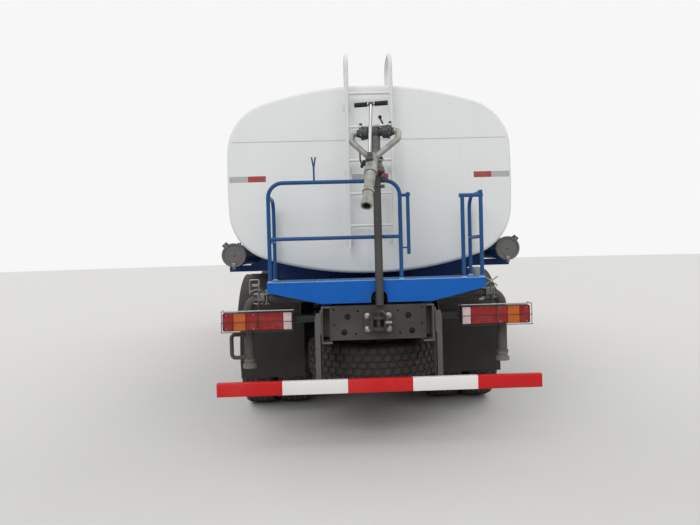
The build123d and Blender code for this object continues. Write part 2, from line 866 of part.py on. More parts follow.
def make_platform():
    deck = block(
        (-platform_half_width, platform_half_width),
        (platform_rear_y, platform_front_y),
        (deck_top - deck_thickness, deck_top),
    )
    skirt_points = [
        (-platform_half_width, deck_top),
        (platform_half_width, deck_top),
        (platform_half_width, skirt_end_low),
        (skirt_low_half, skirt_low),
        (-skirt_low_half, skirt_low),
        (-platform_half_width, skirt_end_low),
    ]
    skirt = outline_xz(skirt_points, platform_rear_y, platform_rear_y + skirt_thickness)
    front_skirt = block(
        (-platform_half_width, platform_half_width),
        (platform_front_y - skirt_thickness, platform_front_y),
        (skirt_end_low, deck_top),
    )
    ends = block(
        (platform_half_width - skirt_thickness, platform_half_width),
        (platform_rear_y, platform_front_y),
        (skirt_end_low, deck_top),
    )
    posts = []
    post_xs = (rail_outer_x - 75, rail_outer_x - 5)
    for y in (platform_rear_y + 60, platform_front_y - 90):
        posts.append(block(post_xs, (y, y + 50), (rail_top, deck_top - deck_thickness)))
    whole = joined([deck, skirt, front_skirt, *both(ends), *[p for post in posts for p in both(post)]])
    notch_low = notch_top - notch_radius
    reach = (platform_rear_y - 1, platform_rear_y + skirt_thickness + 1)
    whole -= rod((riser_x, reach[0], notch_low), (riser_x, reach[1], notch_low), notch_radius)
    whole -= block((riser_x - notch_radius, riser_x + notch_radius), reach, (skirt_low - 1, notch_low))
    save("rear_platform", whole)


def make_platform_rails():
    y = rail_plane_y
    r = rail_tube_radius
    low = deck_top
    left, right = hoop_left_x, hoop_right_x
    hoop = pipe([(left, y, low), (left, y, hoop_top), (right, y, hoop_top), (right, y, low)], r, rail_bend)
    parts = [hoop, rod((left, y, hoop_mid), (right, y, hoop_mid), r - 1)]
    # Side rails run forward from the rear posts and bend down to the front posts
    for x in (hoop_left_x, gate_post_xs[1]):
        route = [(x, y, side_rail_top), (x, rail_front_y, side_rail_top), (x, rail_front_y, low)]
        parts.append(pipe(route, r, rail_bend))
        parts.append(rod((x, y, side_rail_mid), (x, rail_front_y, side_rail_mid), r - 1))
    for x in gate_post_xs:
        parts.append(rod((x, y, low), (x, y, gate_frame_top), r))
    parts.append(rod((gate_post_xs[0] - 24, y, gate_frame_top), (gate_post_xs[1] + r, y, gate_frame_top), r))
    parts.append(rod((gate_post_xs[1], y, low), (gate_post_xs[1], y, side_rail_top + r), r))
    # Fork that holds the hose, and the pin that the drop bar hangs on
    parts.append(rod((fork_x, y, hoop_top), (fork_x, y, hoop_top + 110), 7))
    for side in (-1, 1):
        tip = (fork_x + side * 14, y, fork_top)
        parts.append(rod((fork_x, y, hoop_top + 104), tip, 6))
    parts.append(rod((hoop_right_x, y, gate_top), (gate_x, y, gate_top), 12))
    parts.append(rod((gate_x, y + 12, gate_top), (gate_x, gate_y - 20, gate_top), gate_pin_radius))
    parts.append(rod((gate_x, gate_y - 22, gate_top), (gate_x, gate_y - 17, gate_top), 13))
    # Stub that the hanging bar rests against
    parts.append(rod((hoop_right_x, y, gate_keeper_z), (gate_x, y, gate_keeper_z), 6))
    save("platform_rails", joined(parts))
    bar = rod((gate_x, gate_y, gate_top), (gate_x, gate_y, gate_bottom), gate_tube_radius)
    bar += rod((gate_x, gate_y - 14, gate_top), (gate_x, gate_y + 14, gate_top), 18)
    bore = gate_pin_radius + pin_clearance
    bar -= rod((gate_x, gate_y - 30, gate_top), (gate_x, gate_y + 30, gate_top), bore)
    save("gate_bar", bar)


def make_riser():
    riser = rod((riser_x, riser_y, riser_foot), (riser_x, riser_y, riser_top), riser_radius)
    riser += rod((riser_x, riser_y, manifold_z), (riser_x, feed_joint_y, manifold_z), feed_radius)
    flange_rear = (riser_x, feed_joint_y - 12, manifold_z)
    riser += rod(flange_rear, (riser_x, feed_joint_y, manifold_z), feed_flange_radius)
    flange = rod((riser_x, riser_y, riser_top - 14), (riser_x, riser_y, riser_top), cannon_flange_radius)
    # Drain valve: a short body on the right with its wing handle
    x, z = riser_x, drain_valve_z
    valve = rod((x, riser_y, z), (x + 56, riser_y, z), 11)
    valve += rod((x + 34, riser_y, z), (x + 50, riser_y, z), 17)
    valve += block((x + 52, x + 68), (riser_y - 14, riser_y + 8), (z - 13, z + 13))
    save("riser", joined([riser, flange, valve]))


def cannon_place(shape):
    """Turn a piece drawn about the riser's axis to the stored yaw."""
    return Pos(riser_x, riser_y, 0) * Rot(0, 0, cannon_yaw) * shape


def make_cannon():
    axis_z = cannon_axis_z
    foot_z = riser_top + 15
    base = rod((0, 0, riser_top + 1), (0, 0, foot_z), cannon_flange_radius)
    # Swivel housing: height above the ground and radius, with the lock ring and the neck above it
    housing = [
        (foot_z, 0),
        (foot_z, housing_radius + 4),
        (foot_z + 27, housing_radius),
        (foot_z + 47, housing_radius),
        (foot_z + 51, housing_radius + 8),
        (foot_z + 71, housing_radius + 8),
        (foot_z + 75, housing_radius),
        (housing_top, housing_radius),
        (neck_bottom, neck_radius),
        (axis_z, neck_radius),
        (axis_z, 0),
    ]
    upright = Plane(origin=(0, 0, 0), x_dir=(0, 0, 1), z_dir=(0, -1, 0))
    base += revolve(upright * make_face(Polyline(*housing, close=True)), Axis.Z)
    base += rod((-cross_half, 0, axis_z), (cross_half, 0, axis_z), cross_radius)
    for side in (-1, 1):
        end = side * cross_half
        base += rod((end - side * 16, 0, axis_z), (end, 0, axis_z), cross_radius + 6)
        base += rod((end, 0, axis_z), (end + side * 18, 0, axis_z), cross_radius - 10)
        base += rod((side * 70, 0, axis_z + 40), (side * 70, 0, axis_z + 66), 11)
    # Top plate between the two cap screws
    base += block((-96, 96), (-17, 17), (axis_z + 36, axis_z + 56))
    # Yaw lock: a spindle with a star grip, and the elevation lock with its ball
    base += rod((-40, 0, cannon_lock_z), (-112, 0, cannon_lock_z), 9)
    base += rod((-105, 0, cannon_lock_z - 15), (-118, 0, cannon_lock_z + 35), 10)
    base += rod((-124, 0, cannon_lock_z - 3), (-104, 0, cannon_lock_z - 3), 22)
    base += rod((60, 0, axis_z), (60, 10, lever_top - 7), 6)
    base += Pos(60, 10, lever_top) * Sphere(15)
    save("cannon_head", cannon_place(base))

    lean = math.radians(cannon_depression)
    forward = Vector(0, -math.cos(lean), -math.sin(lean))
    pivot = Vector(0, 0, axis_z)
    merge = pivot + forward * cannon_merge
    pieces = []
    for side in (-1, 1):
        start = Vector(side * 123, 0, axis_z)
        out = Vector(side * arm_out_x, 0, axis_z)
        turn = Vector(side * arm_out_x, 0, axis_z) + forward * 86
        end = merge + Vector(side * 12, 0, 0)
        pieces.append(pipe([start, out, turn, end], arm_radius, 27))
        pieces.append(rod(start, start + Vector(side * 22, 0, 0), 31))
    # Barrel: distance past the meeting of the arms, and radius
    steps = [
        (-34, 0),
        (-34, 34),
        (-20, 40),
        (96, 43),
        (102, 51),
        (148, 51),
        (148, 39),
        (300, 34),
        (306, 41),
        (330, 41),
        (330, 35),
        (cannon_barrel_length - 26, 37),
        (cannon_barrel_length - 22, 40),
        (cannon_barrel_length, 40),
        (cannon_barrel_length, 28),
        (cannon_barrel_length - 110, 24),
        (cannon_barrel_length - 110, 0),
    ]
    turned_barrel = revolve(make_face(Polyline(*steps, close=True)), Axis.X)
    plane = Plane(origin=merge, x_dir=forward, z_dir=(1, 0, 0))
    pieces.append(plane * turned_barrel)

    foot = merge + forward * 10 + Vector(0, -math.sin(lean), math.cos(lean)) * 41
    top = Vector(0, -110, handle_top_z)
    handle = rod(foot, top, 11) + rod(foot - Vector(24, 0, 0), foot + Vector(24, 0, 0), 21)
    handle += rod((-125, -110, handle_top_z), (125, -110, handle_top_z), 10)
    for side in (-1, 1):
        handle += rod((side * 45, -110, handle_top_z), (side * 127, -110, handle_top_z), 14)
    save("cannon_barrel", cannon_place(joined([*pieces, handle])))


def make_spray_pipes():
    y = manifold_y
    points = [(0, y, manifold_z), (spray_x, y, manifold_z), (spray_x, y, outlet_joint_z)]
    right = pipe(points, spray_radius, spray_bend)
    right += rod((spray_x, y, outlet_joint_z), (spray_x, y, outlet_joint_z + 14), spray_flange_radius - 7)
    # Valve body between studs, with its actuator's neck on top
    right += rod((valve_x - 42, y, manifold_z), (valve_x + 12, y, manifold_z), 66)
    for angle in range(45, 405, 90):
        dy = 52 * math.cos(math.radians(angle))
        dz = 52 * math.sin(math.radians(angle))
        right += rod((valve_x - 75, y + dy, manifold_z + dz), (valve_x + 45, y + dy, manifold_z + dz), 7)
    right += rod((valve_x - 15, y, manifold_z + 60), (valve_x - 15, y, manifold_z + 82), 20)
    left = mirror(right, about=Plane.YZ)
    supply = pipe(
        [(supply_x, y, manifold_z), (supply_x, pump_y, manifold_z), (supply_x, pump_y, pump_z)],
        spray_radius,
        60,
    )
    pump = rod((supply_x, pump_y - 110, pump_z), (supply_x, pump_y + 110, pump_z), pump_radius)
    feed = rod((riser_x, y, manifold_z), (riser_x, feed_joint_y, manifold_z), feed_radius)
    flange_front = (riser_x, feed_joint_y + 12, manifold_z)
    feed += rod((riser_x, feed_joint_y, manifold_z), flange_front, feed_flange_radius)
    handle_y = y - 20
    handle_x = -spray_x - 30
    handle = pipe(
        [(handle_x, handle_y, 895), (-1118, handle_y, 895), (-1118, handle_y, 718), (handle_x, handle_y, 718)],
        13,
        35,
    )
    # Air can that works the right valve, on an arm from the valve's neck
    actuator = rod((actuator_x, actuator_y, 1236), (actuator_x, actuator_y, actuator_top), actuator_radius)
    actuator = fillet(actuator.edges().group_by(Axis.Z)[-1], 12)
    actuator += block((actuator_x - 12, actuator_x + 12), (y - 12, actuator_y), (1228, 1244))
    save("spray_pipes", joined([right, left, supply, pump, feed, handle, actuator]))
    outlet = rod((spray_x, y, spray_outlet_z), (spray_x, y, outlet_joint_z), spray_radius)
    outlet += rod((spray_x, y, spray_outlet_z), (spray_x, y, spray_outlet_z + 30), spray_flange_radius)
    outlet += rod((spray_x, y, outlet_joint_z - 14), (spray_x, y, outlet_joint_z), spray_flange_radius - 7)
    bore_top = spray_outlet_z + spray_bore_depth
    outlet -= rod((spray_x, y, spray_outlet_z - 1), (spray_x, y, bore_top), spray_bore)
    save("spray_outlets", *both(outlet))


def make_ladder():
    y = ladder_y
    parts = []
    lean = ladder_half_foot - ladder_half_top
    for side in (-1, 1):
        foot = (side * ladder_half_foot, y, ladder_foot_z)
        top = (side * ladder_half_top, y, ladder_hoop_top)
        front = (side * ladder_half_top, ladder_hoop_front_y, ladder_hoop_top)
        base = (side * ladder_half_top, ladder_hoop_front_y, 2868)
        parts.append(pipe([foot, top, front, base], ladder_tube, 120))
        for z in (1600, 2180, 2700):
            x = side * (ladder_half_top + lean * (ladder_hoop_top - z) / (ladder_hoop_top - ladder_foot_z))
            parts.append(rod((x, y, z), (x, tank_rear_y, z), 9))
    for z in rung_zs:
        parts.append(rod((-ladder_half_top, y, z), (ladder_half_top, y, z), rung_radius))
    return joined(parts)


def make_tank_top(tank):
    ring = rod((0, manhole_y, 2860), (0, manhole_y, manhole_rim_top), manhole_radius)
    ring -= rod((0, manhole_y, 2895), (0, manhole_y, manhole_rim_top + 1), manhole_radius - 14)
    ring += rod((0, manhole_y, manhole_rim_top - 16), (0, manhole_y, manhole_rim_top), lid_radius) - rod(
        (0, manhole_y, manhole_rim_top - 17), (0, manhole_y, manhole_rim_top + 1), manhole_radius - 14
    )
    hinge_y = manhole_y + 290
    hinge_z = manhole_rim_top + 12
    for side in (-1, 1):
        across = sorted((side * 36, side * 50))
        ring += block(across, (manhole_y + 230, hinge_y + 14), (2960, 2986))
        ring += block(across, (manhole_y + 270, hinge_y + 14), (2986, hinge_z + 14))
    ring += rod((-50, hinge_y, hinge_z), (50, hinge_y, hinge_z), 8)
    ring -= tank
    lid = rod((0, manhole_y, manhole_rim_top + 2), (0, manhole_y, manhole_rim_top + 22), lid_radius)
    lid += rod((0, manhole_y, manhole_rim_top + 22), (0, manhole_y, manhole_rim_top + 46), manhole_radius - 60)
    lid += block((-30, 30), (manhole_y + 200, hinge_y + 14), (manhole_rim_top + 4, manhole_rim_top + 26))
    lid -= rod((-70, hinge_y, hinge_z), (70, hinge_y, hinge_z), 8 + pin_clearance)
    save("manhole_lid", lid)
    deck = []
    for low, high in ((-3560, -1000), (-150, 1560)):
        deck.append(block((-300, 300), (low, high), (2850, 2906)) - tank)
    rails = []
    start, end = top_rail_ys
    for side in (-1, 1):
        x = side * top_rail_x
        points = [(x, start, 2850), (x, start, top_rail_z), (x, end, top_rail_z), (x, end, 2850)]
        parts = [pipe(points, 16, 110)]
        for y in (start + 1370, start + 2740):
            parts.append(rod((x, y, 2850), (x, y, top_rail_z), 14))
        rails.append(joined(parts) - tank)
    save("tank_top_fittings", ring, *deck, *rails)
    save("ladder", make_ladder() - tank)


def cab_outline(inset):
    """Side view of the cab in Y and Z, drawn in by a distance."""
    return [
        (cab_back + inset, cab_floor + inset),
        (cab_back + inset, 2750),
        (2430 + inset / 2, cab_roof - inset),
        (3960 - inset / 2, cab_roof - inset),
        (4200 - inset, 2760 - inset / 2),
        (4280 - inset, 2600),
        (4430 - inset, 1900),
        (cab_front - inset, 1700),
        (cab_front - inset, cab_floor + inset),
    ]


def door_outline(inset):
    """Side view of a door in Y and Z, drawn in by a distance."""
    return [
        (3150 + inset, cab_floor + inset),
        (3150 + inset, 2700 - inset),
        (3960 - inset / 2, 2700 - inset),
        (4110 - inset, 2630),
        (4290 - inset, 1880),
        (4290 - inset, cab_floor + inset),
    ]


def make_door_hinges():
    """Hinge leaves on the right side: those on the pillar with their pins, and those on the door."""
    x, y = door_hinge_x, door_hinge_y
    leaf_xs = (cab_half - 2, cab_half + 6)
    pillar = []
    door = []
    for z in door_hinge_zs:
        pillar.append(rod((x, y, z - 56), (x, y, z + 56), hinge_pin_radius))
        for low in (z - 56, z + 31):
            pillar.append(rod((x, y, low), (x, y, low + 25), hinge_barrel_radius))
            pillar.append(block(leaf_xs, (y, y + 60), (low, low + 25)))
        door.append(rod((x, y, z - 30), (x, y, z + 30), hinge_barrel_radius))
        door.append(block(leaf_xs, (y - 60, y), (z - 30, z + 30)))
    return pillar, joined(door)


def make_cab():
    shell = outline_yz(cab_outline(0), -cab_half, cab_half)
    sides = [edge for edge in shell.edges() if abs(edge.center().X) > cab_half - 1 and edge.center().Z > cab_floor + 1]
    shell = fillet(sides, 60)
    shell += block((-cab_half + 60, cab_half - 60), (4330, cab_front), (1020, cab_floor))
    shell -= outline_yz(cab_outline(cab_wall), -cab_half + cab_wall, cab_half - cab_wall)
    tunnel = block((-410, 410), (cab_back + cab_wall, 3990), (cab_floor, 1500))
    shell += tunnel
    shell -= block((-365, 365), (cab_back - 1, 3960), (cab_floor - 1, 1450))
    reach = (cab_half - cab_wall - 1, cab_half + 1)
    for low, high in (reach, (-reach[1], -reach[0])):
        shell -= outline_yz(door_outline(0), low, high)
        shell -= block((low, high), side_window_ys, side_window_zs)
    shell -= block((-screen_half, screen_half), (4150, 4500), screen_zs)
    shell -= block((-rear_window_half, rear_window_half), (cab_back - 1, cab_back + cab_wall + 1), rear_window_zs)
    arm = outline_yz([(4402, 782), (4438, 782), (4440, 1020), (4345, 1020), (4385, 900)], 300, 325)
    arm += rod((300, tilt_y, tilt_z), (325, tilt_y, tilt_z), 32)
    arm -= rod((290, tilt_y, tilt_z), (340, tilt_y, tilt_z), tilt_pin_radius + pin_clearance)
    cab_leaves, door_leaves = make_door_hinges()
    save("cab_shell", joined([shell, *both(arm), *[half for leaf in cab_leaves for half in both(leaf)]]))

    low, high = screen_zs
    screen = outline_yz([(4393, low), (4399, low), (4262, high), (4256, high)], -screen_half, screen_half)
    back = cab_back + cab_wall / 2
    rear = block((-rear_window_half, rear_window_half), (back - 3, back + 3), rear_window_zs)
    quarter = block((cab_half - 30, cab_half - 24), side_window_ys, side_window_zs)
    save("cab_glass", screen, rear, *both(quarter))

    door_thickness = (cab_half - 48, cab_half)
    window = [(3250, 1930), (3250, 2610), (3930, 2610), (4040, 2560), (4185, 1930)]
    door = outline_yz(door_outline(door_gap), *door_thickness) - outline_yz(window, *(cab_half - 60, cab_half + 1))
    pane = outline_yz(window, cab_half - 28, cab_half - 22)
    handle = block((cab_half, cab_half + 22), (3260, 3430), (1760, 1795))
    door = joined([door, handle, door_leaves])
    for z in door_hinge_zs:
        bore = hinge_pin_radius + pin_clearance
        door -= rod((door_hinge_x, door_hinge_y, z - 40), (door_hinge_x, door_hinge_y, z + 40), bore)
    save("door_right", door)
    save("door_left", mirror(door, about=Plane.YZ))
    save("door_glass_right", pane)
    save("door_glass_left", mirror(pane, about=Plane.YZ))

    front = cab_front
    grille = block((-760, 760), (front, front + 26), (1090, 1720))
    for number in range(6):
        z = 1150 + number * 90
        grille -= block((-700, 700), (front + 8, front + 27), (z, z + 52))
    visor = outline_yz([(4245, 2745), (4420, 2650), (4424, 2662), (4253, 2760)], -1060, 1060)
    visor += block((-900, 900), (4180, 4250), (2742, 2760))
    visor -= outline_yz(cab_outline(0), -cab_half, cab_half)
    mirrors = []
    for x_side in both(block((1300, 1480), (4310, 4370), (1980, 2420))):
        mirrors.append(fillet(x_side.edges().filter_by(Axis.Y), 30))
    arms = rod((cab_half - 30, 4340, 2540), (1390, 4340, 2540), 12) + rod((1390, 4340, 2540), (1390, 4340, 2420), 12)
    arms += rod((cab_half - 30, 4340, 1890), (1390, 4340, 1890), 12) + rod((1390, 4340, 1890), (1390, 4340, 1980), 12)
    arms -= block((-cab_half, cab_half), (4200, 4500), (1800, 2600))
    save("cab_trim", grille, visor, mirrors[0] + arms, mirrors[1] + mirror(arms, about=Plane.YZ))


def make_cab_inside():
    seats = []
    floor = cab_floor + cab_wall
    for x in (-690, 690):
        base = block((x - 200, x + 200), (2760, 3160), (floor, 1480))
        cushion = fillet(block((x - 250, x + 250), (2700, 3240), (1480, 1600)).edges().filter_by(Axis.Z), 60)
        back = outline_yz([(2640, 1560), (2760, 1600), (2620, 2190), (2510, 2180)], x - 245, x + 245)
        seats.append(joined([base, cushion, back]))
    dash = outline_yz([(4010, 1650), (4390, 1650), (4380, 1865), (4120, 1860), (4000, 1780)], -1160, 1160)
    wheel_centre = Vector(-690, 3800, 1850)
    tilt = Plane(origin=wheel_centre, x_dir=(1, 0, 0), z_dir=(0, -0.42, 0.91))
    rim = tilt * Torus(225, 16)
    spokes = tilt * Box(450, 34, 12)
    hub = tilt * Cylinder(52, 40)
    column = rod(wheel_centre, wheel_centre + Vector(0, 0.42, -0.91) * 130 + Vector(0, 150, 0), 30)
    save("cab_interior", *seats, joined([dash, rim, spokes, hub, column]))


def make_front_end():
    back = bumper_back
    skin = block((-cab_half, cab_half), (back, half_length), bumper_zs)
    skin = fillet([e for e in skin.edges().filter_by(Axis.Z) if e.center().Y > half_length - 10], 38)
    for side in both(block((1180, cab_half), (4160, back + 1), bumper_zs)):
        skin += side
    # Air intake with two slats between the lamps
    skin -= block((-600, 600), (back + 18, half_length + 1), (725, 865))
    for z in (758, 806):
        skin += block((-600, 600), (back + 18, half_length - 6), (z, z + 22))
    skin += block((-880, 880), (back - 90, back + 1), (470, 690))
    for arm in both(block((345, 420), (4317, back - 80), (500, 690))):
        skin += arm
    for lamp in both(block(headlamp_xs, (back - 5, half_length + 1), headlamp_zs)):
        skin -= lamp
    save("front_bumper", skin)
    save("headlamps", *both(block(headlamp_xs, (back + 1, half_length), headlamp_zs)))
    # Brackets on the frame's front ends carry the bumper and the pins that the cab tilts on
    bracket = outline_yz([(4300, 740), (4452, 760), (4452, 850), (4400, 960), (4316, 1000), (4300, 1000)], 345, 375)
    bracket += rod((288, tilt_y, tilt_z), (345, tilt_y, tilt_z), tilt_pin_radius)
    bracket += block((345, rail_outer_x), (4300, 4317), (500, rail_top))
    save("front_brackets", *both(bracket))
    steps = block((860, cab_half - 2), (3800, 4158), (430, 1060))
    for low, high in ((500, 700), (770, 980)):
        steps -= block((900, cab_half), (3830, 4130), (low, high))
    steps += block((rail_outer_x, 860), (4020, 4110), (860, 960))
    y = front_axle_y
    low_x, high_x = front_guard_xs
    inner_radius = front_guard_radius - front_guard_sheet
    outer = rod((low_x, y, tyre_radius), (high_x, y, tyre_radius), front_guard_radius)
    outer -= rod((low_x - 10, y, tyre_radius), (high_x + 10, y, tyre_radius), inner_radius)
    outer -= block((600, 1300), (2000, 4200), (front_guard_top, 1400))
    outer -= block((600, 1300), (2000, 4200), (-400, 800))
    flat_z = front_guard_top - front_guard_sheet
    reach = math.sqrt(inner_radius**2 - (flat_z - tyre_radius) ** 2)
    outer += block(front_guard_xs, (y - reach, y + reach), (flat_z, front_guard_top))
    stay = rod((rail_outer_x, y - 531, 940), (1200, y - 531, 940), 16)
    stay += rod((880, y + 523, 940), (880, 3805, 940), 14)
    save("steps_and_mudguards", *both(joined([steps, outer, stay])))


tank_body = make_tank()
make_frame()
make_tow_coupling()
make_underrun()
make_tail_lamps()
make_mudguards()
make_rear_wheels()
make_front_wheels()
make_spare()
make_rear_axles()
make_front_axle()
make_knuckles()
make_front_springs()
make_driveline()
make_side_equipment()
make_side_guards()
make_saddles(tank_body)
make_hose_tubes()
make_platform()
make_platform_rails()
make_riser()
make_cannon()
make_spray_pipes()
make_tank_top(tank_body)
make_cab()
make_cab_inside()
make_front_end()
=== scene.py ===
import bmesh
import bpy
import math
from mathutils import Matrix, Vector


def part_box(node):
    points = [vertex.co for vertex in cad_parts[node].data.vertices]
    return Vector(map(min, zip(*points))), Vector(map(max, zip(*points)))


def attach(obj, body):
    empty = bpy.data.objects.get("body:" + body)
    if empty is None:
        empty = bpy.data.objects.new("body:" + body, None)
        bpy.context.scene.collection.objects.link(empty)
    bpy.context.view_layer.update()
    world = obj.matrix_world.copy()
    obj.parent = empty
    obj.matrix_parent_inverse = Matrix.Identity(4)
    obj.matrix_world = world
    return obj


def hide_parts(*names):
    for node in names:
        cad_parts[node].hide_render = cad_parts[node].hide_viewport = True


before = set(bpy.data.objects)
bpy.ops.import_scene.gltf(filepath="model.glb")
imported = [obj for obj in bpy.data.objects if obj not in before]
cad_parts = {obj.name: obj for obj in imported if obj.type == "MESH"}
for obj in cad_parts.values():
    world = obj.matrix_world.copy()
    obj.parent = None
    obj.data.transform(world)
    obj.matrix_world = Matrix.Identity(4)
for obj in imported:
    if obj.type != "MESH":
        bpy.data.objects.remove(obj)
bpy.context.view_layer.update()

# All piece code below is written in metres about the truck's own middle, and moved here at the end
truckHalfLength = 4.6
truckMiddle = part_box("underrun_bar")[0].y + truckHalfLength
shiftToFrame = Matrix.Translation((0, truckMiddle, 0))
bothSides = ((1, "right"), (-1, "left"))
alongX, alongY, backwards, upwards = (1, 0, 0), (0, 1, 0), (0, -1, 0), (0, 0, 1)


# Mesh helpers

def circle(count, radius, phase=0.0):
    # Evenly stepped points round a circle; the phase is in steps
    angles = [2 * math.pi * (n + phase) / count for n in range(count)]
    return [(radius * math.cos(angle), radius * math.sin(angle)) for angle in angles]


def mm(*values):
    # Pairs for a profile, given one after the other in millimetres
    return [(a / 1000, b / 1000) for a, b in zip(values[::2], values[1::2])]


def joinRings(bm, rings, mat=0, ends=False):
    # Faces between one ring and the next, and over both ends where wanted
    faces = []
    for low, high in zip(rings, rings[1:]):
        for i in range(len(low)):
            after = (i + 1) % len(low)
            faces.append(bm.faces.new((low[i], low[after], high[after], high[i])))
    if ends:
        faces += [bm.faces.new(rings[0]), bm.faces.new(rings[-1])]
    for face in faces:
        face.material_index = mat
    return faces


def bevelEdges(bm, faces, width, segments):
    if width > 0:
        edges = list({edge for face in faces for edge in face.edges})
        bmesh.ops.bevel(bm, geom=edges, offset=width, segments=segments, affect="EDGES", profile=0.6,
                        material=-1)


def addBox(bm, low, high, bevel=0.0, mat=0, segments=2):
    # Between two corners, given in any order
    made = bmesh.ops.create_cube(bm, size=1.0)["verts"]
    low, high = Vector(low), Vector(high)
    for vert in made:
        vert.co = Vector((vert.co[i] * abs(high[i] - low[i]) + (high[i] + low[i]) / 2 for i in range(3)))
    faces = {face for vert in made for face in vert.link_faces}
    for face in faces:
        face.material_index = mat
    bevelEdges(bm, faces, bevel, segments)


def addPrism(bm, outline, axis, low, high, bevel=0.0, mat=0, segments=2):
    # Outline points are the two other axes in X, Y, Z order
    place = "xyz".index(axis)
    rings = [[bm.verts.new((*point[:place], depth, *point[place:])) for point in outline]
             for depth in sorted((low, high))]
    bevelEdges(bm, joinRings(bm, rings, mat, True), bevel, segments)


def addLathe(bm, profile, centre, axis=alongX, sides=48, mat=0, closed=False):
    # Profile points are (along the axis, radius); a radius of nought closes to one point
    turn = Vector(upwards).rotation_difference(Vector(axis)).to_matrix()
    centre = Vector(centre)
    rings = []
    for along, radius in profile:
        spots = circle(sides, radius) if radius > 1e-6 else [(0, 0)]
        rings.append([bm.verts.new(centre + turn @ Vector((a, b, along))) for a, b in spots])
    pairs = list(zip(rings, rings[1:]))
    if closed:
        pairs.append((rings[-1], rings[0]))
    for low, high in pairs:
        for i in range(sides):
            after = (i + 1) % sides
            corners = [low[i % len(low)], low[after % len(low)], high[after % len(high)], high[i % len(high)]]
            corners = [v for n, v in enumerate(corners) if v not in corners[:n]]
            if len(corners) > 2:
                bm.faces.new(corners).material_index = mat


def addRod(bm, start, end, radius, sides=20, mat=0, chamfer=0.0015):
    start, end = Vector(start), Vector(end)
    length = (end - start).length
    cut = min(chamfer, radius * 0.4, length * 0.3)
    profile = [(0, 0), (0, radius - cut), (cut, radius), (length - cut, radius), (length, radius - cut),
               (length, 0)]
    addLathe(bm, profile, start, end - start, sides, mat)


def addBall(bm, centre, radius, sides=20, mat=0):
    steps = 8
    angles = [math.pi * i / steps for i in range(steps + 1)]
    addLathe(bm, [(-radius * math.cos(a), radius * math.sin(a)) for a in angles], centre, upwards, sides, mat)


def roundedPath(points, bend, steps=6):
    # Corners of a path of straight runs made round with tangent arcs
    points = [Vector(p) for p in points]
    path = [points[0]]
    for before, corner, after in zip(points, points[1:], points[2:]):
        back, on = (before - corner).normalized(), (after - corner).normalized()
        half = back.angle(on) / 2
        trim = bend / math.tan(half)
        centre = corner + (back + on).normalized() * (bend / math.sin(half))
        first = corner + back * trim - centre
        last = corner + on * trim - centre
        for i in range(steps + 1):
            path.append(centre + first.slerp(last, i / steps).normalized() * bend)
    path.append(points[-1])
    return path


def addTube(bm, points, radius, bend=0.0, sides=16, mat=0, steps=6):
    path = roundedPath(points, bend, steps) if bend > 0 else [Vector(p) for p in points]
    side = None
    rings = []
    for i, spot in enumerate(path):
        along = (path[min(i + 1, len(path) - 1)] - path[max(i - 1, 0)]).normalized()
        if side is None:
            side = along.orthogonal().normalized()
        side = (side - along * side.dot(along)).normalized()
        up = along.cross(side)
        rings.append([bm.verts.new(spot + side * a + up * b) for a, b in circle(sides, radius)])
    joinRings(bm, rings, mat, True)


def addLoop(bm, points, radius, mat=0, sides=6):
    # A tube round a closed loop of points
    addTube(bm, points + points[:1], radius, sides=sides, mat=mat)


def roundedBox(low, high, corner, steps=3):
    # Rounded rectangle as a list of points
    points = []
    for n, (cx, cy) in enumerate(((high[0], high[1]), (low[0], high[1]), (low[0], low[1]),
                                  (high[0], low[1]))):
        x = cx - corner if cx == high[0] else cx + corner
        y = cy - corner if cy == high[1] else cy + corner
        for i in range(steps + 1):
            angle = math.radians(90 * n + 90 * i / steps)
            points.append((x + corner * math.cos(angle), y + corner * math.sin(angle)))
    return points


def onSide(bm, side):
    # The drawn right side moved to the wanted side
    if side < 0:
        for vert in bm.verts:
            vert.co.x = -vert.co.x


def meshOf(bm, name="unit", moved=True):
    bmesh.ops.recalc_face_normals(bm, faces=bm.faces)
    if moved:
        bm.transform(shiftToFrame)
    mesh = bpy.data.meshes.new(name)
    bm.to_mesh(mesh)
    bm.free()
    return mesh


def asList(value):
    return value if isinstance(value, list) else [value]


def addMesh(name, mesh, body, replaced=None, smoothAngle=35):
    mesh.polygons.foreach_set("use_smooth", [True] * len(mesh.polygons))
    mesh.set_sharp_from_angle(angle=math.radians(smoothAngle))
    piece = bpy.data.objects.new(name, mesh)
    bpy.context.scene.collection.objects.link(piece)
    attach(piece, body)
    if replaced:
        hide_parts(replaced)
    return piece


def addPiece(name, bm, materials, body, replaced=None, smoothAngle=35):
    mesh = meshOf(bm, name)
    for material in asList(materials):
        mesh.materials.append(material)
    return addMesh(name, mesh, body, replaced, smoothAngle)


def paintNodes(materials, *nodes):
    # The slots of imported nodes, in order; the last material also goes into the slots after it
    for node in nodes:
        for i, place in enumerate(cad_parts[node].material_slots):
            place.material = asList(materials)[min(i, len(asList(materials)) - 1)]


# Node helpers, for Geometry Nodes and for materials

def feed(tree, node, inputs):
    # Each input, by name or number, is linked where it is given a socket, and set where it is given a value
    for key, value in inputs.items():
        socket = node.inputs[key]
        if isinstance(value, bpy.types.NodeSocket):
            tree.links.new(value, socket)
        else:
            socket.default_value = (*value, 1) if socket.type == "RGBA" else value
    return node.outputs


def addNode(tree, kind, inputs={}, **settings):
    node = tree.nodes.new(kind)
    for key, value in settings.items():
        setattr(node, key, value)
    return feed(tree, node, inputs)


def calc(tree, operation, *values, clamp=False):
    return addNode(tree, "ShaderNodeMath", dict(enumerate(values)), operation=operation, use_clamp=clamp)[0]


def vectorCalc(tree, operation, inputs):
    return addNode(tree, "ShaderNodeVectorMath", inputs, operation=operation)[0]


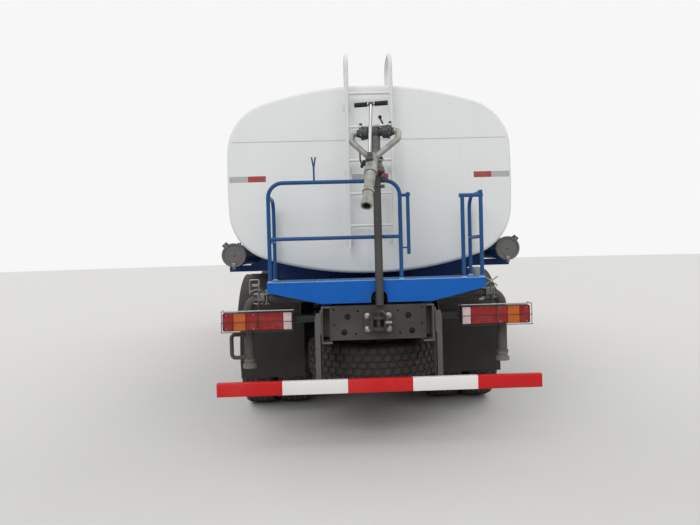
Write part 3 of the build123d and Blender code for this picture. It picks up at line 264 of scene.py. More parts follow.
def newTree(name, inputs):
    tree = bpy.data.node_groups.new(name, "GeometryNodeTree")
    for label, kind, value in [("Geometry", "Geometry", None)] + inputs + [("Material", "Material", None)]:
        socket = tree.interface.new_socket(label, in_out="INPUT", socket_type=f"NodeSocket{kind}")
        if value is not None:
            socket.default_value = value
    tree.interface.new_socket("Geometry", in_out="OUTPUT", socket_type="NodeSocketGeometry")
    return tree, addNode(tree, "NodeGroupInput")


def endTree(tree, given, inputs):
    # Instances on points, realized, with their material
    copies = addNode(tree, "GeometryNodeInstanceOnPoints", inputs)[0]
    real = addNode(tree, "GeometryNodeRealizeInstances", {"Geometry": copies})[0]
    painted = addNode(tree, "GeometryNodeSetMaterial", {"Geometry": real, "Material": given["Material"]})[0]
    addNode(tree, "NodeGroupOutput", {"Geometry": painted})
    return tree


def makeAroundTree():
    # Copies of the drawn unit in a ring about the X axis
    tree, given = newTree("ring of copies", [("Count", "Int", 8), ("Phase", "Float", 0.0)])
    share = calc(tree, "DIVIDE", addNode(tree, "GeometryNodeInputIndex")[0], given["Count"])
    angle = calc(tree, "ADD", calc(tree, "MULTIPLY", share, 2 * math.pi), given["Phase"])
    turn = addNode(tree, "ShaderNodeCombineXYZ", {"X": angle})[0]
    spots = addNode(tree, "GeometryNodePoints", {"Count": given["Count"]})[0]
    return endTree(tree, given, {"Points": spots, "Instance": given["Geometry"], "Rotation": turn})


def makeGridTree():
    # Copies of the drawn unit in rows and columns, with every second row moved by the stagger
    inputs = [("Columns", "Int", 2), ("Rows", "Int", 1), ("Column step", "Vector", (0.1, 0, 0)),
              ("Row step", "Vector", (0, 0.1, 0)), ("Stagger", "Vector", (0, 0, 0))]
    tree, given = newTree("rows and columns", inputs)
    number = addNode(tree, "GeometryNodeInputIndex")[0]
    column = calc(tree, "MODULO", number, given["Columns"])
    row = calc(tree, "FLOOR", calc(tree, "DIVIDE", number, given["Columns"]))
    spot = None
    for label, share in (("Column step", column), ("Row step", row),
                         ("Stagger", calc(tree, "MODULO", row, 2.0))):
        move = vectorCalc(tree, "SCALE", {0: given[label], "Scale": share})
        spot = move if spot is None else vectorCalc(tree, "ADD", {0: spot, 1: move})
    count = calc(tree, "MULTIPLY", given["Columns"], given["Rows"])
    spots = addNode(tree, "GeometryNodePoints", {"Count": count, "Position": spot})[0]
    return endTree(tree, given, {"Points": spots, "Instance": given["Geometry"]})


def makeBoltTree():
    # A hexagon head on a washer, with the end of its stud, at every point and along the point's facing
    inputs = [("Head radius", "Float", 0.012), ("Head height", "Float", 0.009),
              ("Washer radius", "Float", 0.016), ("Stud length", "Float", 0.004)]
    tree, given = newTree("bolts on points", inputs)
    studRadius = calc(tree, "MULTIPLY", given["Head radius"], 0.5)
    studHeight = calc(tree, "ADD", given["Head height"], given["Stud length"])
    washerThickness = 0.004
    whole = tree.nodes.new("GeometryNodeJoinGeometry")
    for corners, radius, depth in ((6, given["Head radius"], given["Head height"]),
                                   (14, given["Washer radius"], washerThickness),
                                   (10, studRadius, studHeight)):
        shape = addNode(tree, "GeometryNodeMeshCylinder",
                        {"Vertices": corners, "Radius": radius, "Depth": depth})[0]
        if depth != washerThickness:
            lift = addNode(tree, "ShaderNodeCombineXYZ", {"Z": calc(tree, "MULTIPLY", depth, 0.5)})[0]
            shape = addNode(tree, "GeometryNodeTransform", {"Geometry": shape, "Translation": lift})[0]
        tree.links.new(shape, whole.inputs["Geometry"])
    facing = addNode(tree, "GeometryNodeInputNamedAttribute", {"Name": "facing"}, data_type="FLOAT_VECTOR")
    aim = addNode(tree, "FunctionNodeAlignRotationToVector", {"Vector": facing["Attribute"]}, axis="Z")[0]
    return endTree(tree, given, {"Points": given["Geometry"], "Instance": whole.outputs[0], "Rotation": aim})


def runTree(source, tree, material, values):
    # The tree's result on a mesh, as a plain mesh
    carrier = bpy.data.objects.new("carrier", source)
    bpy.context.scene.collection.objects.link(carrier)
    modifier = carrier.modifiers.new("nodes", "NODES")
    modifier.node_group = tree
    ids = {item.name: item.identifier for item in tree.interface.items_tree if item.in_out == "INPUT"}
    for label, value in {**values, "Material": material}.items():
        modifier[ids[label]] = value
    bpy.context.view_layer.update()
    graph = bpy.context.evaluated_depsgraph_get()
    result = bpy.data.meshes.new_from_object(carrier.evaluated_get(graph), depsgraph=graph)
    carrier.modifiers.clear()
    bpy.data.objects.remove(carrier)
    result.materials.clear()
    result.materials.append(material)
    return result


aroundTree = makeAroundTree()
gridTree = makeGridTree()
boltTree = makeBoltTree()


def gridMesh(bm, columns, rows, columnStep, rowStep, material, stagger=(0, 0, 0)):
    values = {"Columns": columns, "Rows": rows, "Column step": columnStep, "Row step": rowStep,
              "Stagger": stagger}
    return runTree(meshOf(bm), gridTree, material, values)


def addBolts(name, places, facing, sizes, body="chassis"):
    # Sizes are the head's radius and height, the washer's radius and the stud's length
    spots = bpy.data.meshes.new("spots")
    spots.from_pydata([tuple(Vector(p) + Vector((0, truckMiddle, 0))) for p in places], [], [])
    aim = spots.attributes.new("facing", "FLOAT_VECTOR", "POINT")
    each = facing if isinstance(facing, list) else [facing] * len(places)
    aim.data.foreach_set("vector", [c for f in each for c in Vector(f)])
    labels = ("Head radius", "Head height", "Washer radius", "Stud length")
    addCopies(name, runTree(spots, boltTree, boltSteel, dict(zip(labels, sizes))), body)


def joinMeshes(meshes):
    # Plain meshes joined in one, with each one's material kept
    bm = bmesh.new()
    materials = []
    for mesh in meshes:
        before = len(bm.faces)
        bm.from_mesh(mesh)
        material = mesh.materials[0]
        if material not in materials:
            materials.append(material)
        bm.faces.ensure_lookup_table()
        for face in bm.faces[before:]:
            face.material_index = materials.index(material)
    whole = bpy.data.meshes.new("joined")
    bm.to_mesh(whole)
    bm.free()
    for material in materials:
        whole.materials.append(material)
    return whole


def addCopies(name, meshes, body, replaced=None, smoothAngle=35):
    addMesh(name, joinMeshes(asList(meshes)), body, replaced, smoothAngle)


print("helpers ready")


# Materials

dustColor = (0.34, 0.3, 0.25)


def newMaterial(name):
    made = bpy.data.materials.new(name)
    made.use_nodes = True
    return made, made.node_tree, made.node_tree.nodes["Principled BSDF"]


def coords(tree, scale=(1, 1, 1)):
    # Object coordinates through a Mapping node
    place = addNode(tree, "ShaderNodeTexCoord")["Object"]
    return addNode(tree, "ShaderNodeMapping", {"Vector": place, "Scale": scale})[0]


def noiseOf(tree, place, scale, detail=4.0, rough=0.55):
    inputs = {"Vector": place, "Scale": scale, "Detail": detail, "Roughness": rough}
    return addNode(tree, "ShaderNodeTexNoise", inputs)["Fac"]


def ramp(tree, value, stops):
    # Two stops of (place, grey or colour)
    node = tree.nodes.new("ShaderNodeValToRGB")
    for mark, (place, shade) in zip(node.color_ramp.elements, stops):
        mark.position = place
        mark.color = (*shade, 1) if isinstance(shade, tuple) else (shade, shade, shade, 1)
    return feed(tree, node, {"Fac": value})["Color"]


def mixed(tree, share, low, high):
    return addNode(tree, "ShaderNodeMix", {0: share, 6: low, 7: high}, data_type="RGBA")[2]


def toned(color, factor, lift=0.0):
    return tuple(min(c * factor + lift, 1) for c in color)


def bump(tree, height, strength, distance, earlier={}):
    return addNode(tree, "ShaderNodeBump", {"Height": height, "Strength": strength, "Distance": distance,
                                            **earlier})[0]


def heightOf(tree):
    return addNode(tree, "ShaderNodeSeparateXYZ", {0: addNode(tree, "ShaderNodeTexCoord")["Object"]})["Z"]


def paint(name, base, rough=0.35, metal=0.0, coat=0.0, mottle=0.06, dirt=0.15, dustTop=0.0, dust=0.0,
          chips=0.0, chipColor=(0.16, 0.1, 0.07), streaks=0.0, peel=0.03, grain=900.0, shine=0.3, upper=None):
    # Paint with faint mottling, grime in patches and streaks, road dust low down, a lighter dust colour
    # rising towards the top, and small chips
    made, tree, shader = newMaterial(name)
    plain = coords(tree)
    patches = noiseOf(tree, plain, 2.3, 6.0, 0.6)
    fine = noiseOf(tree, plain, 38.0, 5.0, 0.6)
    color = mixed(tree, ramp(tree, patches, [(0.3, 0.0), (0.7, 1.0)]), toned(base, 1 - mottle),
                  toned(base, 1 + mottle))
    grimeColor = tuple(c * 0.45 + d * 0.25 for c, d in zip(base, dustColor))
    color = mixed(tree, ramp(tree, patches, [(0.48, 0.0), (0.85, dirt)]), color, grimeColor)
    if streaks > 0:
        runs = noiseOf(tree, coords(tree, (9, 9, 0.35)), 1.6, 5.0, 0.65)
        color = mixed(tree, ramp(tree, runs, [(0.55, 0.0), (0.8, streaks)]), color, grimeColor)
    if dust > 0:
        low = calc(tree, "SUBTRACT", 1.0, calc(tree, "DIVIDE", heightOf(tree), dustTop), clamp=True)
        cloud = calc(tree, "MULTIPLY", low, calc(tree, "ADD", fine, 0.45), clamp=True)
        color = mixed(tree, calc(tree, "MULTIPLY", cloud, dust, clamp=True), color, dustColor)
    if upper is not None:
        # Lighter and dust-coloured towards the top: from no share at the first height to the full share at
        # the second
        start, full, share = upper
        risen = calc(tree, "DIVIDE", calc(tree, "SUBTRACT", heightOf(tree), start), full - start, clamp=True)
        color = mixed(tree, calc(tree, "MULTIPLY", risen, share, clamp=True), color, dustColor)
    if chips > 0:
        spots = ramp(tree, noiseOf(tree, plain, 55.0, 3.0, 0.7), [(0.68, 0.0), (0.72, chips)])
        color = mixed(tree, spots, color, chipColor)
    roughness = ramp(tree, fine, [(0.25, max(rough - 0.08, 0.05)), (0.8, min(rough + 0.14, 1.0))])
    wave = bump(tree, noiseOf(tree, plain, 5.0, 2.0), peel, 0.02)
    skin = bump(tree, noiseOf(tree, plain, grain, 2.0), 0.12, 0.0006, {"Normal": wave})
    feed(tree, shader, {"Base Color": color, "Roughness": roughness, "Metallic": metal,
                        "Specular IOR Level": shine, "Coat Weight": coat, "Coat Roughness": 0.12,
                        "Normal": skin})
    return made


def cast(name, base, rough, metal, pits=0.5):
    # Sand-cast metal with a pitted skin, darker in its hollows
    made, tree, shader = newMaterial(name)
    plain = coords(tree)
    grains = noiseOf(tree, plain, 160.0, 4.0, 0.7)
    clouds = noiseOf(tree, plain, 14.0, 5.0)
    color = mixed(tree, ramp(tree, clouds, [(0.35, 0.0), (0.65, 1.0)]), toned(base, 0.6), base)
    color = mixed(tree, ramp(tree, grains, [(0.6, 0.0), (0.75, 0.35)]), color, (0.12, 0.09, 0.07))
    roughness = ramp(tree, clouds, [(0.2, rough - 0.1), (0.8, min(rough + 0.15, 1))])
    feed(tree, shader, {"Base Color": color, "Roughness": roughness, "Metallic": metal,
                        "Specular IOR Level": 0.3, "Normal": bump(tree, grains, pits, 0.002)})
    return made


def brushed(name, base, rough, stretch):
    # Rolled or brushed metal with lines along one direction
    made, tree, shader = newMaterial(name)
    lines = noiseOf(tree, coords(tree, stretch), 60.0, 3.0)
    clouds = ramp(tree, noiseOf(tree, coords(tree), 6.0), [(0.3, 0.0), (0.75, 1.0)])
    roughness = ramp(tree, lines, [(0.2, rough - 0.08), (0.8, rough + 0.12)])
    feed(tree, shader, {"Base Color": mixed(tree, clouds, base, toned(base, 0.72)), "Roughness": roughness,
                        "Metallic": 0.9, "Normal": bump(tree, lines, 0.15, 0.0008)})
    return made


def galvanised(name):
    # Zinc coat with its crystal pattern, dulled by weather
    made, tree, shader = newMaterial(name)
    plain = coords(tree)
    crystals = addNode(tree, "ShaderNodeTexVoronoi", {"Vector": plain, "Scale": 45.0})["Color"]
    tone = ramp(tree, crystals, [(0.0, (0.26, 0.265, 0.27)), (1.0, (0.42, 0.43, 0.43))])
    weather = ramp(tree, noiseOf(tree, plain, 5.0, 6.0), [(0.4, 0.0), (0.75, 0.55)])
    feed(tree, shader, {"Base Color": mixed(tree, weather, tone, (0.25, 0.22, 0.18)), "Metallic": 0.55,
                        "Roughness": ramp(tree, crystals, [(0.0, 0.38), (1.0, 0.6)]),
                        "Normal": bump(tree, noiseOf(tree, plain, 90.0, 3.0), 0.25, 0.001)})
    return made


def rubber(name, base, dusty):
    # Tyre rubber: dull black with pale dust and fine cracks
    made, tree, shader = newMaterial(name)
    plain = coords(tree)
    clouds = noiseOf(tree, plain, 7.0, 6.0, 0.65)
    color = mixed(tree, ramp(tree, clouds, [(0.35, 0.05), (0.7, dusty)]), base, (0.2, 0.18, 0.155))
    cracks = noiseOf(tree, plain, 210.0, 5.0, 0.75)
    feed(tree, shader, {"Base Color": color, "Roughness": ramp(tree, clouds, [(0.2, 0.62), (0.8, 0.9)]),
                        "Specular IOR Level": 0.35, "Normal": bump(tree, cracks, 0.35, 0.0012)})
    return made


def tape(name, base):
    # Reflective tape: a fine honeycomb under a clear face
    made, tree, shader = newMaterial(name)
    cells = addNode(tree, "ShaderNodeTexVoronoi", {"Vector": coords(tree), "Scale": 130.0,
                                                   "Randomness": 0.15},
                    feature="DISTANCE_TO_EDGE")["Distance"]
    walls = ramp(tree, cells, [(0.04, 1.0), (0.1, 0.0)])
    soil = ramp(tree, noiseOf(tree, coords(tree), 11.0, 5.0), [(0.4, 0.0), (0.8, 0.22)])
    color = mixed(tree, soil, mixed(tree, walls, base, toned(base, 0.8, 0.07)), (0.3, 0.26, 0.22))
    feed(tree, shader, {"Base Color": color, "Roughness": 0.28, "Coat Weight": 0.4,
                        "Normal": bump(tree, cells, 0.2, 0.0005)})
    return made


def lens(name, base):
    # Moulded lamp lens with optic prisms behind a smooth face
    made, tree, shader = newMaterial(name)
    plain = coords(tree)
    prisms = addNode(tree, "ShaderNodeTexChecker", {"Vector": plain, "Scale": 110.0})["Fac"]
    haze = ramp(tree, noiseOf(tree, plain, 20.0, 5.0), [(0.45, 0.0), (0.85, 0.12)])
    color = mixed(tree, haze, mixed(tree, prisms, base, toned(base, 0.7)), (0.4, 0.34, 0.28))
    feed(tree, shader, {"Base Color": color, "Roughness": 0.16, "Specular IOR Level": 0.3, "Coat Weight": 0.2,
                        "Normal": bump(tree, prisms, 0.3, 0.0012)})
    return made


def clearGlass(name, tint, alpha):
    # Window glass with a light tint and faint film of dust
    made, tree, shader = newMaterial(name)
    film = noiseOf(tree, coords(tree), 9.0, 5.0)
    color = mixed(tree, ramp(tree, film, [(0.4, 0.0), (0.8, 0.15)]), tint, (0.5, 0.48, 0.43))
    feed(tree, shader, {"Base Color": color, "Roughness": ramp(tree, film, [(0.3, 0.03), (0.8, 0.13)]),
                        "Alpha": alpha, "Specular IOR Level": 0.8})
    return made


def fabric(name, base):
    # Woven seat cloth
    made, tree, shader = newMaterial(name)
    threads = addNode(tree, "ShaderNodeTexChecker", {"Vector": coords(tree), "Scale": 420.0})["Fac"]
    pile = ramp(tree, noiseOf(tree, coords(tree), 60.0), [(0.3, 0.0), (0.7, 1.0)])
    feed(tree, shader, {"Base Color": mixed(tree, pile, toned(base, 0.7), base), "Roughness": 0.9,
                        "Sheen Weight": 0.35, "Normal": bump(tree, threads, 0.3, 0.0006)})
    return made


def plastic(name, base, rough, leather=220.0):
    # Moulded plastic with a leather grain
    made, tree, shader = newMaterial(name)
    plain = coords(tree)
    grains = addNode(tree, "ShaderNodeTexVoronoi", {"Vector": plain, "Scale": leather})["Distance"]
    clouds = noiseOf(tree, plain, 8.0, 5.0)
    color = mixed(tree, ramp(tree, clouds, [(0.45, 0.0), (0.8, 0.7)]), base, toned(base, 1.5, 0.02))
    roughness = ramp(tree, clouds, [(0.3, rough - 0.08), (0.8, rough + 0.1)])
    feed(tree, shader, {"Base Color": color, "Roughness": roughness, "Specular IOR Level": 0.3,
                        "Normal": bump(tree, grains, 0.2, 0.0008)})
    return made


whitePaint = paint("white tank enamel", (0.63, 0.645, 0.645), 0.38, coat=0.04, mottle=0.025, dirt=0.05,
                   streaks=0.1, peel=0.06, shine=0.25)
ladderPaint = paint("white ladder enamel", (0.6, 0.61, 0.61), 0.42, mottle=0.05, dirt=0.3, chips=0.3)
bluePaint = paint("blue platform enamel", (0.003, 0.088, 0.37), 0.4, mottle=0.08, dirt=0.08, chips=0.3,
                  shine=0.18, chipColor=(0.3, 0.33, 0.36))
railBlue = paint("blue rail enamel", (0.006, 0.06, 0.19), 0.36, coat=0.05, mottle=0.12, chips=0.3, shine=0.25,
                 chipColor=(0.2, 0.22, 0.24))
saddleBlue = paint("dusty blue saddle enamel", (0.007, 0.03, 0.13), 0.5, mottle=0.15, dirt=0.2, shine=0.2)
redPaint = paint("red cab enamel", (0.52, 0.022, 0.018), 0.22, coat=0.6, mottle=0.05, dirt=0.12, dust=0.25,
                 dustTop=1.8, peel=0.02)
chassisPaint = paint("chassis black with road dust", (0.04, 0.038, 0.038), 0.62, mottle=0.2, dirt=0.5,
                     dust=0.7, dustTop=1.5, chips=0.4, peel=0.1, grain=300.0)
plateSteel = paint("brown-grey frame steel", (0.05, 0.043, 0.039), 0.6, metal=0.2, mottle=0.25, dirt=0.3,
                   chips=0.5, peel=0.1, grain=250.0)
bracketSteel = paint("grey bracket enamel", (0.085, 0.082, 0.08), 0.5, metal=0.2, mottle=0.2, dirt=0.5,
                     chips=0.3)
barRed = paint("red bar sheeting", (0.455, 0.008, 0.01), 0.42, coat=0.06, shine=0.2, mottle=0.1, dirt=0.25,
               chips=0.15)
barWhite = paint("white bar sheeting", (0.655, 0.64, 0.62), 0.42, coat=0.1, dirt=0.35, chips=0.2)
rimPaint = paint("dark wheel enamel", (0.035, 0.036, 0.04), 0.45, metal=0.3, mottle=0.2, dirt=0.5, dust=0.6,
                 dustTop=1.5)
greyPaint = paint("grey cap enamel", (0.13, 0.127, 0.12), 0.45, metal=0.3, mottle=0.15, dirt=0.4, chips=0.3)
riserPaint = paint("dark grey riser enamel", (0.05, 0.05, 0.049), 0.5, mottle=0.15, dirt=0.35, chips=0.25)
blackPlastic = plastic("black moulded plastic", (0.018, 0.018, 0.019), 0.5)
greyPlastic = plastic("grey moulded dash", (0.1, 0.1, 0.105), 0.6)
gripRubber = plastic("black grip rubber", (0.012, 0.012, 0.012), 0.7, 400.0)
seatCloth = fabric("dark grey seat cloth", (0.06, 0.065, 0.075))
tyreRubber = rubber("dusty tyre rubber", (0.014, 0.013, 0.013), 0.45)
spareRubber = rubber("spare tyre rubber", (0.011, 0.009, 0.008), 0.18)
flapRubber = rubber("mudflap rubber", (0.01, 0.007, 0.006), 0.1)
cannonMetal = cast("pale cast alloy", (0.36, 0.36, 0.33), 0.45, 0.55, 0.35)
darkCast = cast("dark cast iron", (0.085, 0.09, 0.092), 0.5, 0.5)
rustySteel = cast("rusted steel", (0.13, 0.06, 0.03), 0.8, 0.3, 0.6)
engineMetal = cast("engine casting", (0.05, 0.052, 0.052), 0.6, 0.4)
brightSteel = brushed("bright plated steel", (0.44, 0.44, 0.43), 0.36, (1, 1, 12))
boltSteel = brushed("zinc bolt steel", (0.34, 0.33, 0.31), 0.42, (4, 4, 4))
tankAlloy = brushed("rolled fuel tank alloy", (0.56, 0.57, 0.58), 0.34, (1, 14, 1))
zincCoat = galvanised("weathered zinc coat")
tapeRed = tape("red reflective tape", (0.3, 0.014, 0.016))
tapeWhite = tape("white reflective tape", (0.37, 0.385, 0.375))
lensRed = lens("red lamp lens", (0.27, 0.003, 0.004))
lensAmber = lens("amber lamp lens", (0.5, 0.1, 0.006))
lensClear = lens("clear lamp lens", (0.62, 0.48, 0.48))
headLens = clearGlass("headlamp glass", (0.6, 0.63, 0.65), 0.18)
cabGlass = clearGlass("tinted cab glass", (0.05, 0.075, 0.075), 0.42)
print("materials ready")


# Floor, light and camera

studio = {
    "floorColor": (0.52, 0.515, 0.5),
    "floorRadius": 90.0,
    "skyHigh": 0.62,
    "skyLow": 0.4,
    "background": 0.93,
    # Name, where it comes from, power and softness in degrees
    "lamps": (("over", upwards, 0.4, 90.0), ("behind left", (-0.5, -1.0, 0.9), 1.5, 45.0),
              ("behind right", (0.8, -0.9, 0.9), 0.6, 45.0), ("ahead left", (-0.8, 0.9, 0.8), 0.7, 45.0),
              ("ahead right", (0.9, 0.7, 0.9), 0.7, 45.0)),
}
# Where the photograph was taken from: straight behind, a little left of the middle, at eye height
photo = {"x": -0.311, "behindMiddle": 8.73, "height": 1.5, "lens": 29.1, "yaw": 1.52, "pitch": -0.98,
         "roll": 1.53}


def makeFloor():
    bm = bmesh.new()
    bmesh.ops.create_circle(bm, cap_ends=True, radius=studio["floorRadius"], segments=96)
    mesh = bpy.data.meshes.new("floor")
    bm.to_mesh(mesh)
    bm.free()
    floor = bpy.data.objects.new("floor", mesh)
    bpy.context.scene.collection.objects.link(floor)
    made, tree, shader = newMaterial("pale floor")
    low = tuple(c * 0.97 for c in studio["floorColor"])
    color = mixed(tree, noiseOf(tree, coords(tree), 3.0, 6.0), low, studio["floorColor"])
    feed(tree, shader, {"Base Color": color, "Roughness": 0.9})
    mesh.materials.append(made)


def makeSky():
    world = bpy.data.worlds.new("studio")
    bpy.context.scene.world = world
    world.use_nodes = True
    tree = world.node_tree
    place = addNode(tree, "ShaderNodeTexCoord")["Generated"]
    level = addNode(tree, "ShaderNodeSeparateXYZ", {0: place})["Z"]
    sky = ramp(tree, level, [(0.0, studio["skyLow"]), (0.75, studio["skyHigh"])])
    rays = addNode(tree, "ShaderNodeLightPath")
    seen = calc(tree, "MAXIMUM", rays["Is Camera Ray"], rays["Is Transmission Ray"])
    feed(tree, tree.nodes["Background"], {"Color": mixed(tree, seen, sky, (studio["background"],) * 3)})


def makeLamp(name, source, power, softness):
    # Broad far light that comes from a direction
    data = bpy.data.lights.new(name, "SUN")
    data.energy = power
    data.angle = math.radians(softness)
    lamp = bpy.data.objects.new(name, data)
    lamp.location = Vector(source) * 8
    lamp.rotation_mode = "QUATERNION"
    lamp.rotation_quaternion = Vector(source).to_track_quat("Z", "Y")
    bpy.context.scene.collection.objects.link(lamp)


def makeCamera():
    data = bpy.data.cameras.new("camera")
    data.lens = photo["lens"]
    data.sensor_width = 36.0
    data.clip_end = 500.0
    camera = bpy.data.objects.new("camera", data)
    yaw, pitch, roll = (math.radians(photo[key]) for key in ("yaw", "pitch", "roll"))
    ahead = Vector((math.sin(yaw) * math.cos(pitch), math.cos(yaw) * math.cos(pitch), math.sin(pitch)))
    level = Vector((math.cos(yaw), -math.sin(yaw), 0))
    upright = level.cross(ahead)
    right = level * math.cos(roll) - upright * math.sin(roll)
    up = level * math.sin(roll) + upright * math.cos(roll)
    turn = Matrix((right, up, -ahead)).transposed().to_4x4()
    spot = (photo["x"], truckMiddle - photo["behindMiddle"], photo["height"])
    camera.matrix_world = Matrix.Translation(spot) @ turn
    bpy.context.scene.collection.objects.link(camera)
    bpy.context.scene.camera = camera


makeFloor()
makeSky()
for lampValues in studio["lamps"]:
    makeLamp(*lampValues)
makeCamera()
bpy.context.scene.view_settings.view_transform = "Standard"
print("studio ready")


# Tank

tankLook = {
    "rear": -4.045,
    "length": 6.1,
    "halfWidth": 1.18,
    "bottom": 1.327,
    "top": 2.884,
    "crownRadius": 2.9,
    "sideRadius": 6.0,
    "cornerRadius": 0.42,
    "knuckle": 0.03,
    "ringSeams": (-2.53, -1.01, 0.52),
    "seamHeight": 0.004,
    "headSeamHeight": 2.43,
    "roofSeamX": 0.62,
    "sideSeamDrop": 0.12,
    "seamRadius": 0.0045,
    "seamEnd": 0.06,
}
tankMiddle = (tankLook["bottom"] + tankLook["top"]) / 2


def tankSection(inset=0.0):
    # The tank's outline in X and Z, as evenly stepped arcs, drawn in by a distance
    crown, side, corner = tankLook["crownRadius"], tankLook["sideRadius"], tankLook["cornerRadius"]
    crownSpot = Vector((0, tankLook["top"] - crown))
    sideSpot = Vector((tankLook["halfWidth"] - side, tankMiddle))
    toCrown, toSide = crown - corner, side - corner
    gap = sideSpot - crownSpot
    along = (toCrown ** 2 - toSide ** 2 + gap.length ** 2) / (2 * gap.length)
    across = math.sqrt(toCrown ** 2 - along ** 2)
    unit = gap.normalized()
    cornerSpot = crownSpot + unit * along + Vector((unit.y, -unit.x)) * across
    fromCrown = (cornerSpot - crownSpot).normalized()
    fromSide = (cornerSpot - sideSpot).normalized()
    quarter = []
    arcs = ((crownSpot, crown, Vector((0, 1)), fromCrown, 10), (cornerSpot, corner, fromCrown, fromSide, 12),
            (sideSpot, side, fromSide, Vector((1, 0)), 7))
    for spot, radius, first, last, steps in arcs:
        start, sweep = math.atan2(first.y, first.x), first.angle_signed(last)
        for i in range(steps):
            angle = start - sweep * i / steps
            quarter.append((spot.x + (radius - inset) * math.cos(angle),
                            spot.y + (radius - inset) * math.sin(angle)))
    quarter.append((tankLook["halfWidth"] - inset, tankMiddle))
    lower = [(x, 2 * tankMiddle - z) for x, z in reversed(quarter[:-1])]
    right = quarter + lower
    left = [(-x, z) for x, z in reversed(right[1:-1])]
    return right + left


def makeTank():
    bm = bmesh.new()
    rear, front = tankLook["rear"], tankLook["rear"] + tankLook["length"]
    knuckle = tankLook["knuckle"]
    steps = 7
    angles = [math.pi / 2 * i / steps for i in range(steps, -1, -1)]
    stations = [(rear + knuckle * (1 - math.sin(a)), knuckle * (1 - math.cos(a))) for a in angles]
    rows = list(stations)
    seam = tankLook["seamHeight"]
    for y in tankLook["ringSeams"]:
        rows += [(y - 0.014, 0), (y - 0.008, 0), (y - 0.004, -seam), (y + 0.004, -seam), (y + 0.008, 0),
                 (y + 0.014, 0)]
    rows += [(front + rear - y, inset) for y, inset in reversed(stations)]
    rings = [[bm.verts.new((x, y, z)) for x, z in tankSection(inset)] for y, inset in rows]
    joinRings(bm, rings, 0, True)
    addPiece("tank_shell", bm, whitePaint, "chassis", "tank", 30)


def makeTankSeams():
    # Weld lines: across both heads, along the roof and low on the sides
    bm = bmesh.new()
    rear, front = tankLook["rear"], tankLook["rear"] + tankLook["length"]
    level = tankLook["headSeamHeight"]
    section = tankSection(tankLook["knuckle"])
    half = max(x for x, z in section if abs(z - level) < 0.06) - 0.01
    for y, out in ((rear, -1), (front, 1)):
        flat = [(y + out * 0.0022, level), (y + out * 0.0012, level + 0.004),
                (y - out * 0.002, level + 0.006), (y - out * 0.002, level - 0.006),
                (y + out * 0.0012, level - 0.004)]
        addPrism(bm, flat, "x", -half, half)
    crown = tankLook["top"] - tankLook["crownRadius"]
    thick, back, ahead = tankLook["seamRadius"], rear + tankLook["seamEnd"], front - tankLook["seamEnd"]
    for x in (tankLook["roofSeamX"], -tankLook["roofSeamX"]):
        top = crown + math.sqrt(tankLook["crownRadius"] ** 2 - x ** 2)
        addTube(bm, [(x, back, top), (x, ahead, top)], thick, sides=8)
    for side in (-1, 1):
        x = side * (tankLook["halfWidth"] - 0.0035)
        z = tankMiddle - tankLook["sideSeamDrop"]
        addTube(bm, [(x, back, z), (x, ahead, z)], thick, sides=8)
    addPiece("tank_weld_seams", bm, seamPaint, "chassis")


tapeLook = {
    "headHeight": 2.125,
    "headCentres": (-1.01, 0.0, 1.01),
    "half": 0.15,
    "tall": 0.05,
    "thick": 0.0012,
    "sideHeight": 1.72,
    "sideCount": 9,
    "sideStep": 0.66,
    "sideStart": 0.45,
}


def addTape(bm, centre, along, normal, up=upwards, firstMat=0):
    # A tape of two halves, each a thin plate with softened edges
    centre, along, normal, up = Vector(centre), Vector(along), Vector(normal), Vector(up)
    half, tall, thick = tapeLook["half"], tapeLook["tall"] / 2, tapeLook["thick"]
    for n, (low, high) in enumerate(((-half, 0), (0, half))):
        edge = 0.0015
        outer = [(low, -tall), (high, -tall), (high, tall), (low, tall)]
        inner = [(low + edge, -tall + edge), (high - edge, -tall + edge), (high - edge, tall - edge),
                 (low + edge, tall - edge)]
        base = [bm.verts.new(centre + along * a + up * b - normal * 0.0015) for a, b in outer]
        face = [bm.verts.new(centre + along * a + up * b + normal * thick) for a, b in inner]
        joinRings(bm, [base, face], (n + firstMat) % 2, True)


def makeTapes():
    bm = bmesh.new()
    y = tankLook["rear"]
    for x in tapeLook["headCentres"]:
        addTape(bm, (x, y, tapeLook["headHeight"]), alongX, backwards, firstMat=int(x <= 0))
    section = tankSection()
    level = tapeLook["sideHeight"]
    right = sorted((abs(z - level), x, z) for x, z in section if x > 0.8)[0]
    normal = Vector((right[1] - (tankLook["halfWidth"] - tankLook["sideRadius"]), 0,
                     right[2] - tankMiddle)).normalized()
    up = Vector(alongY).cross(normal) * -1
    for side in (-1, 1):
        for n in range(tapeLook["sideCount"]):
            spot = (side * right[1], y + tapeLook["sideStart"] + n * tapeLook["sideStep"], right[2])
            addTape(bm, spot, alongY, (side * normal.x, 0, normal.z), (side * up.x, 0, up.z))
    addPiece("tank_tapes", bm, [tapeRed, tapeWhite], "chassis", smoothAngle=20)
    rivets = bmesh.new()
    for x, out in zip(tapeLook["headCentres"], (-1, -1, 1)):
        centre = (x + out * (tapeLook["half"] - 0.014), y - 0.0012, tapeLook["headHeight"])
        addLathe(rivets, mm(-1, 6, 1.2, 5.5, 2.4, 3, 2.8, 0), centre, backwards, 14)
    addPiece("tape_rivets", rivets, boltSteel, "chassis")


seamPaint = paint("weathered white at the welds", (0.5, 0.5, 0.49), 0.5, mottle=0.1, dirt=0.35)
makeTank()
makeTankSeams()
makeTapes()
print("tank ready")


# Tyres and wheels

tyreLook = {
    "radius": 0.561,
    "halfWidth": 0.157,
    "grooveFloor": 0.546,
    "beadHalf": 0.104,
    "pitches": 46,
    "sides": 92,
}
rearAxles = (("rear", -2.85), ("middle", -1.5))
frontAxle = 3.1
